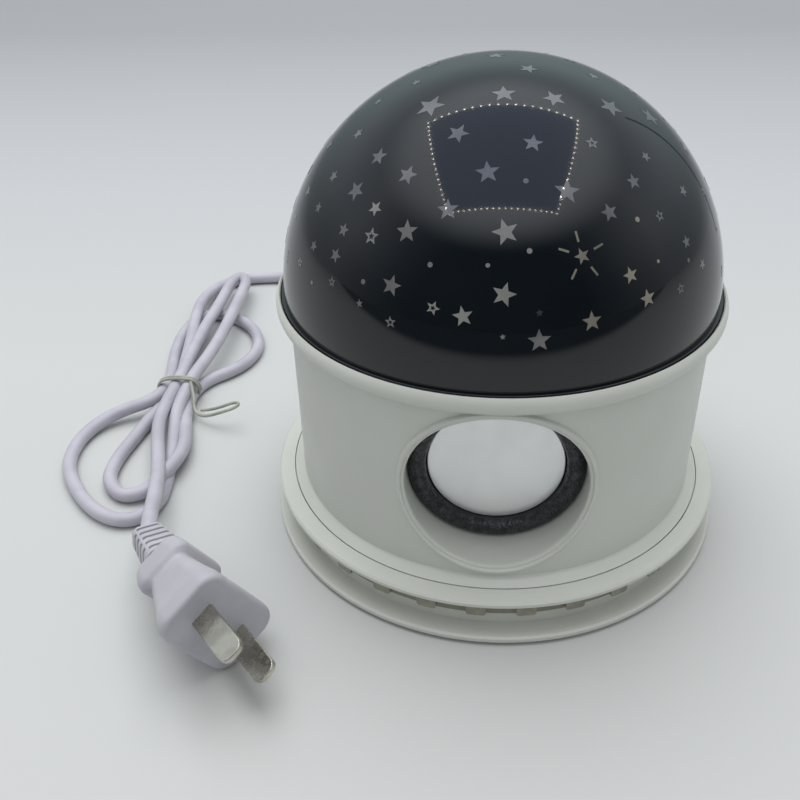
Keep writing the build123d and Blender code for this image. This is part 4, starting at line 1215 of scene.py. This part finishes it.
    def grip(self) -> Object:
        """Draws out the grip.

        Returns:
            The grip.
        """
        grip = self.draw_out("plug_grip", list(self.sections), self.rounding, self.segments)
        bpy.ops.object.mode_set(mode="OBJECT")
        return self.finish_moulding(grip, self.grip_edge, self.roll)

    def sleeve(self) -> Object:
        """Draws out the tapered sleeve and sinks its slots, staggered from one side to the next.

        Returns:
            The sleeve.
        """
        starts = self.top_slots + self.side_slots
        inner = sorted([*starts, *(start + self.slot for start in starts)])
        levels = [self.sleeve_from, *inner, self.sleeve_to]
        sections = []
        for level in levels:
            share = (level - self.sleeve_from) / (self.sleeve_to - self.sleeve_from)
            half, side = (base + (tip - base) * share for base, tip in zip(self.sleeve_base, self.sleeve_tip))
            sections.append((level, half, side))
        sleeve = self.draw_out("plug_sleeve", sections, self.sleeve_rounding, self.sleeve_segments)
        bpy.ops.mesh.select_all(action="SELECT")
        bpy.ops.mesh.normals_make_consistent(inside=False)
        for axis, starts in enumerate((self.top_slots, self.side_slots)):
            for start in starts:
                self.sink(sleeve, start, axis)
        bpy.ops.object.mode_set(mode="OBJECT")
        return self.finish_moulding(sleeve, self.sleeve_edge, self.sleeve_roll)

    def sink(self, sleeve: Object, start: float, axis: int) -> None:
        """Sinks one slot in the two faces across an axis.

        Args:
            sleeve: The sleeve, open in edit mode.
            start: Where the slot starts behind the plug's face, in mm.
            axis: The axis that the two faces look along.
        """
        bpy.ops.mesh.select_all(action="DESELECT")
        shape = bmesh.from_edit_mesh(sleeve.data)
        for face in shape.faces:
            height = face.calc_center_median().z / MM
            within = start < height < start + self.slot
            face.select = abs(face.normal[axis]) > self.slot_reach and within
        bmesh.update_edit_mesh(sleeve.data)
        bpy.ops.mesh.inset(thickness=self.slot_inset * MM, depth=-self.slot_depth * MM)

    def blades(self) -> Object:
        """Makes one blade with a rounded, bevelled tip, and its copy.

        Returns:
            Both blades as one piece.
        """
        pick_nothing()
        length, width, thick = self.blade
        bpy.ops.mesh.primitive_cube_add(size=MM, scale=(width, thick, length + self.blade_root))
        blade = bpy.context.active_object
        bpy.ops.object.transform_apply(location=True, rotation=True, scale=True)
        into_edit("EDGE")
        bpy.ops.transform.translate(value=(0, 0, (self.blade_root - length) / 2 * MM))
        bpy.ops.mesh.select_all(action="DESELECT")
        shape = bmesh.from_edit_mesh(blade.data)
        for edge in shape.edges:
            first, second = (vertex.co / MM for vertex in edge.verts)
            tip = first.z < 0 and second.z < 0
            through = abs(first.x - second.x) < thick / 2 < abs(first.y - second.y)
            edge.select = tip and through
        bmesh.update_edit_mesh(blade.data)
        bpy.ops.mesh.bevel(offset=self.blade_round * MM, segments=self.segments)
        bpy.ops.object.mode_set(mode="OBJECT")
        settle(blade)
        soften(blade, *self.blade_edge)
        half = self.blade_pitch / 2 * MM
        pair = [spare(blade, Matrix.Translation((0, shift, 0))) for shift in (-half, half)]
        scrap([blade])
        blades = join(pair, "plug_pins")
        place(blades, self.axes(self.roll), mm(self.face_at))
        return settle(blades, SMOOTH_ROUND)


# ---------------------------------------------------------------- studio


@dataclass
class Studio:
    """The pale floor, the soft light and the camera."""

    camera_at: Point = (-0.005768, -0.226736, 0.184030)
    look: Point = (-0.07792, 0.82584, -0.55849)
    right: Point = (0.99674, 0.07623, -0.02634)
    up: Point = (-0.02082, 0.55872, 0.82909)
    lens: float = 42.43
    floor_half: float = 8.0
    floor_rough: float = 0.5
    floor_shine: float = 0.25
    # how far back, in metres, and the floor's tone there, darkening towards the back as painted shade
    floor_shade_tones: Tones = (
        (-0.12, (0.545, 0.557, 0.553)), (0.06, (0.545, 0.56, 0.56)), (0.24, (0.485, 0.497, 0.517)),
        (0.36, (0.435, 0.447, 0.465)), (0.6, (0.335, 0.345, 0.362)),
    )
    table_edge: Flat = (-0.30, -0.50)
    dark_room: Colour = (0.02, 0.024, 0.032)
    # the light by the height of its direction, and the mirrored room from its front to its back
    lighting: Tones = (
        (0.0, (0.22, 0.225, 0.225)), (0.35, (0.34, 0.345, 0.345)), (0.75, (0.85, 0.855, 0.86)),
        (1.0, (1.0, 1.0, 1.0)),
    )
    mirrored: Tones = (
        (0.0, (0.0, 0.02, 0.035)), (0.14, (0.005, 0.03, 0.05)), (0.24, (0.12, 0.14, 0.16)),
        (0.36, (0.34, 0.36, 0.40)), (0.5, (0.60, 0.63, 0.68)), (0.75, (0.62, 0.68, 0.73)),
        (1.0, (0.55, 0.68, 0.70)),
    )
    haze: Tones = ((0.0, (0.5, 0.5, 0.5)), (1.0, (1.0, 1.0, 1.0)))
    haze_to: Flat = (-0.02, 0.45)
    ceiling: Colour = (1.45, 1.52, 1.62)
    ceiling_from: Flat = (0.6, 0.86)
    lamp_at: Point = (-0.12, 0.35, 1.3)
    lamp_aim: Point = (0, 0, 0.06)
    lamp_size: float = 1.3
    lamp_power: float = 13.0
    # the row of small lights that only the gloss shows: half width, front, back and height in metres
    lights_frame: tuple[float, float, float, float] = (0.142, -0.185, 0.100, 0.35)
    lights_step: float = 0.0152
    lights_radius: float = 0.0016
    lights_tone: Colour = (1.0, 0.93, 0.78)
    lights_strength: float = 34.0
    opening: Colour = (0.62, 0.72, 0.98)
    opening_above: float = 0.0064
    post_size: Point = (0.004, 0.004, 0.30)
    post_at: Point = (0.25, 0.26, 0.15)
    post_tone: Colour = (0.02, 0.02, 0.025)

    def build(self) -> None:
        """Sets up the floor, the light and the camera."""
        self.lay_floor()
        self.light_room()
        self.hang_lamp()
        self.hang_lights()
        self.open_ceiling()
        self.stand_post()
        self.aim_camera()
        bpy.context.scene.view_settings.view_transform = "Standard"

    def lay_floor(self) -> None:
        """Lays a floor whose colour darkens towards the back as painted shade, and that ends in a dark room
        for what mirrors it.
        """
        pick_nothing()
        bpy.ops.mesh.primitive_plane_add(size=2 * self.floor_half)
        floor = bpy.context.active_object
        floor.name = "studio_floor"
        look = bpy.data.materials.new("pale floor")
        look.use_nodes = True
        wiring = Wiring(look.node_tree)
        where = wiring.add("TexCoord", {}).outputs["Object"]
        along = wiring.add("SeparateXYZ", {0: where}).outputs["Y"]
        # painted shade: the floor's colour darkens from front to back
        first, last = self.floor_shade_tones[0][0], self.floor_shade_tones[-1][0]
        stops = tuple(((back - first) / (last - first), tone) for back, tone in self.floor_shade_tones)
        tones = wiring.ramp(wiring.rise(along, (first, last), "LINEAR"), stops)
        edge = wiring.rise(along, self.table_edge)
        mirrors = wiring.add("LightPath", {}).outputs["Is Glossy Ray"]
        beyond = wiring.add("Math", {0: edge, 1: mirrors}, operation="MULTIPLY").outputs[0]
        shader = look.node_tree.nodes["Principled BSDF"]
        wiring.feed(shader, {"Roughness": self.floor_rough, "Specular IOR Level": self.floor_shine})
        wiring.feed(shader, {"Base Color": wiring.mix(beyond, tones, (*self.dark_room, 1))})
        floor.data.materials.append(look)

    def light_room(self) -> None:
        """Gives the room a bright ceiling, and a dark front side for what mirrors it."""
        world = bpy.data.worlds.new("studio_room")
        bpy.context.scene.world = world
        world.use_nodes = True
        world.node_tree.nodes.clear()
        wiring = Wiring(world.node_tree)
        where = wiring.add("TexCoord", {}).outputs["Generated"]
        split = wiring.add("SeparateXYZ", {0: where}).outputs
        around = wiring.ramp(wiring.rise(split["Y"], (-1.0, 1.0), "LINEAR"), self.mirrored)
        haze = wiring.ramp(wiring.rise(split["Z"], self.haze_to), self.haze)
        room = wiring.mix(1.0, around, haze, "MULTIPLY")
        mirrored = wiring.mix(wiring.rise(split["Z"], self.ceiling_from), room, (*self.ceiling, 1))
        glossy = wiring.add("LightPath", {}).outputs["Is Glossy Ray"]
        light = wiring.mix(glossy, wiring.ramp(split["Z"], self.lighting), mirrored)
        back = wiring.add("Background", {"Color": light})
        wiring.add("OutputWorld", {"Surface": back.outputs[0]})

    def hang_lamp(self) -> None:
        """Hangs one wide soft lamp overhead that points at the dome."""
        light = bpy.data.lights.new("overhead_lamp", "AREA")
        light.size = self.lamp_size
        light.energy = self.lamp_power
        lamp = bpy.data.objects.new("overhead_lamp", light)
        bpy.context.scene.collection.objects.link(lamp)
        lamp.location = self.lamp_at
        lamp.rotation_euler = (Vector(self.lamp_aim) - lamp.location).to_track_quat("-Z", "Y").to_euler()
        lamp.visible_glossy = False

    def hang_lights(self) -> None:
        """Hangs a square of small lights overhead, which only the dome's gloss shows."""
        half, front, back, height = self.lights_frame
        corners = ((-half, front), (half, front), (half, back), (-half, back))
        pick_nothing()
        bpy.ops.mesh.primitive_ico_sphere_add(subdivisions=1, radius=self.lights_radius)
        light = bpy.context.active_object
        row = []
        for start, stop in zip(corners, corners[1:] + corners[:1]):
            side = Vector(stop) - Vector(start)
            count = round(side.length / self.lights_step)
            for step in range(count):
                at = Vector(start) + side * step / count
                row.append(spare(light, Matrix.Translation((*at, height))))
        scrap([light])
        lights = join(row, "studio_lights")
        self.only_mirrored(lights, "Emission Color", self.lights_tone, self.lights_strength)

    def open_ceiling(self) -> None:
        """Sets a bluish opening over the square of lights."""
        half, front, back, height = self.lights_frame
        bpy.ops.mesh.primitive_plane_add(size=1)
        opening = bpy.context.active_object
        opening.name = "ceiling_opening"
        opening.scale = (2 * half, back - front, 1)
        opening.location = (0, (front + back) / 2, height + self.opening_above)
        self.only_mirrored(opening, "Emission Color", self.opening, 1.0)

    def stand_post(self) -> None:
        """Stands a dark post in the room's corner."""
        bpy.ops.mesh.primitive_cube_add(size=1, scale=self.post_size, location=self.post_at)
        post = bpy.context.active_object
        post.name = "corner_post"
        self.only_mirrored(post, "Base Color", self.post_tone, 0.0)

    def only_mirrored(self, gear: Object, socket: str, tone: Colour, strength: float) -> None:
        """Gives studio gear one plain tone, and leaves it to be seen in reflections alone.

        Args:
            gear: The piece of gear.
            socket: The shader's input that takes the tone.
            tone: The tone.
            strength: How strongly it shines.
        """
        look = bpy.data.materials.new(gear.name)
        look.use_nodes = True
        feeds = {"Base Color": (0, 0, 0, 1), "Emission Strength": strength, socket: (*tone, 1)}
        Wiring(look.node_tree).feed(look.node_tree.nodes["Principled BSDF"], feeds)
        gear.data.materials.append(look)
        gear.visible_camera = gear.visible_diffuse = gear.visible_shadow = gear.visible_transmission = False

    def aim_camera(self) -> None:
        """Aims the camera and makes it the scene's own."""
        data = bpy.data.cameras.new("studio_camera")
        data.lens = self.lens
        data.clip_start = 0.01
        camera = bpy.data.objects.new("studio_camera", data)
        bpy.context.scene.collection.objects.link(camera)
        back = -Vector(self.look)
        turned = Matrix((Vector(self.right), Vector(self.up), back)).transposed().to_4x4()
        camera.matrix_world = Matrix.Translation(self.camera_at) @ turned
        bpy.context.scene.camera = camera


def dress_solids() -> None:
    """Gives every solid of the frame the finish of its slot."""
    for part in frame["record"]["subparts"]:
        FINISHES[part["material_slot"]].dress(frame["nodes"][part["node"]])
        LOG.info("%s is dressed as %s", part["node"], part["material_slot"])


def main() -> None:
    """Builds the night light in order."""
    logging.basicConfig(level=logging.INFO, format="%(message)s")
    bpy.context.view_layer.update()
    Studio().build()
    dress_solids()
    Dome().build()
    Speaker().build()
    cord = MainsCord()
    line = cord.build()
    on_cord = [TwistTie().build(), *Plug().build(), frame["nodes"]["cord_gland"]]


if __name__ == "__main__":
    main()
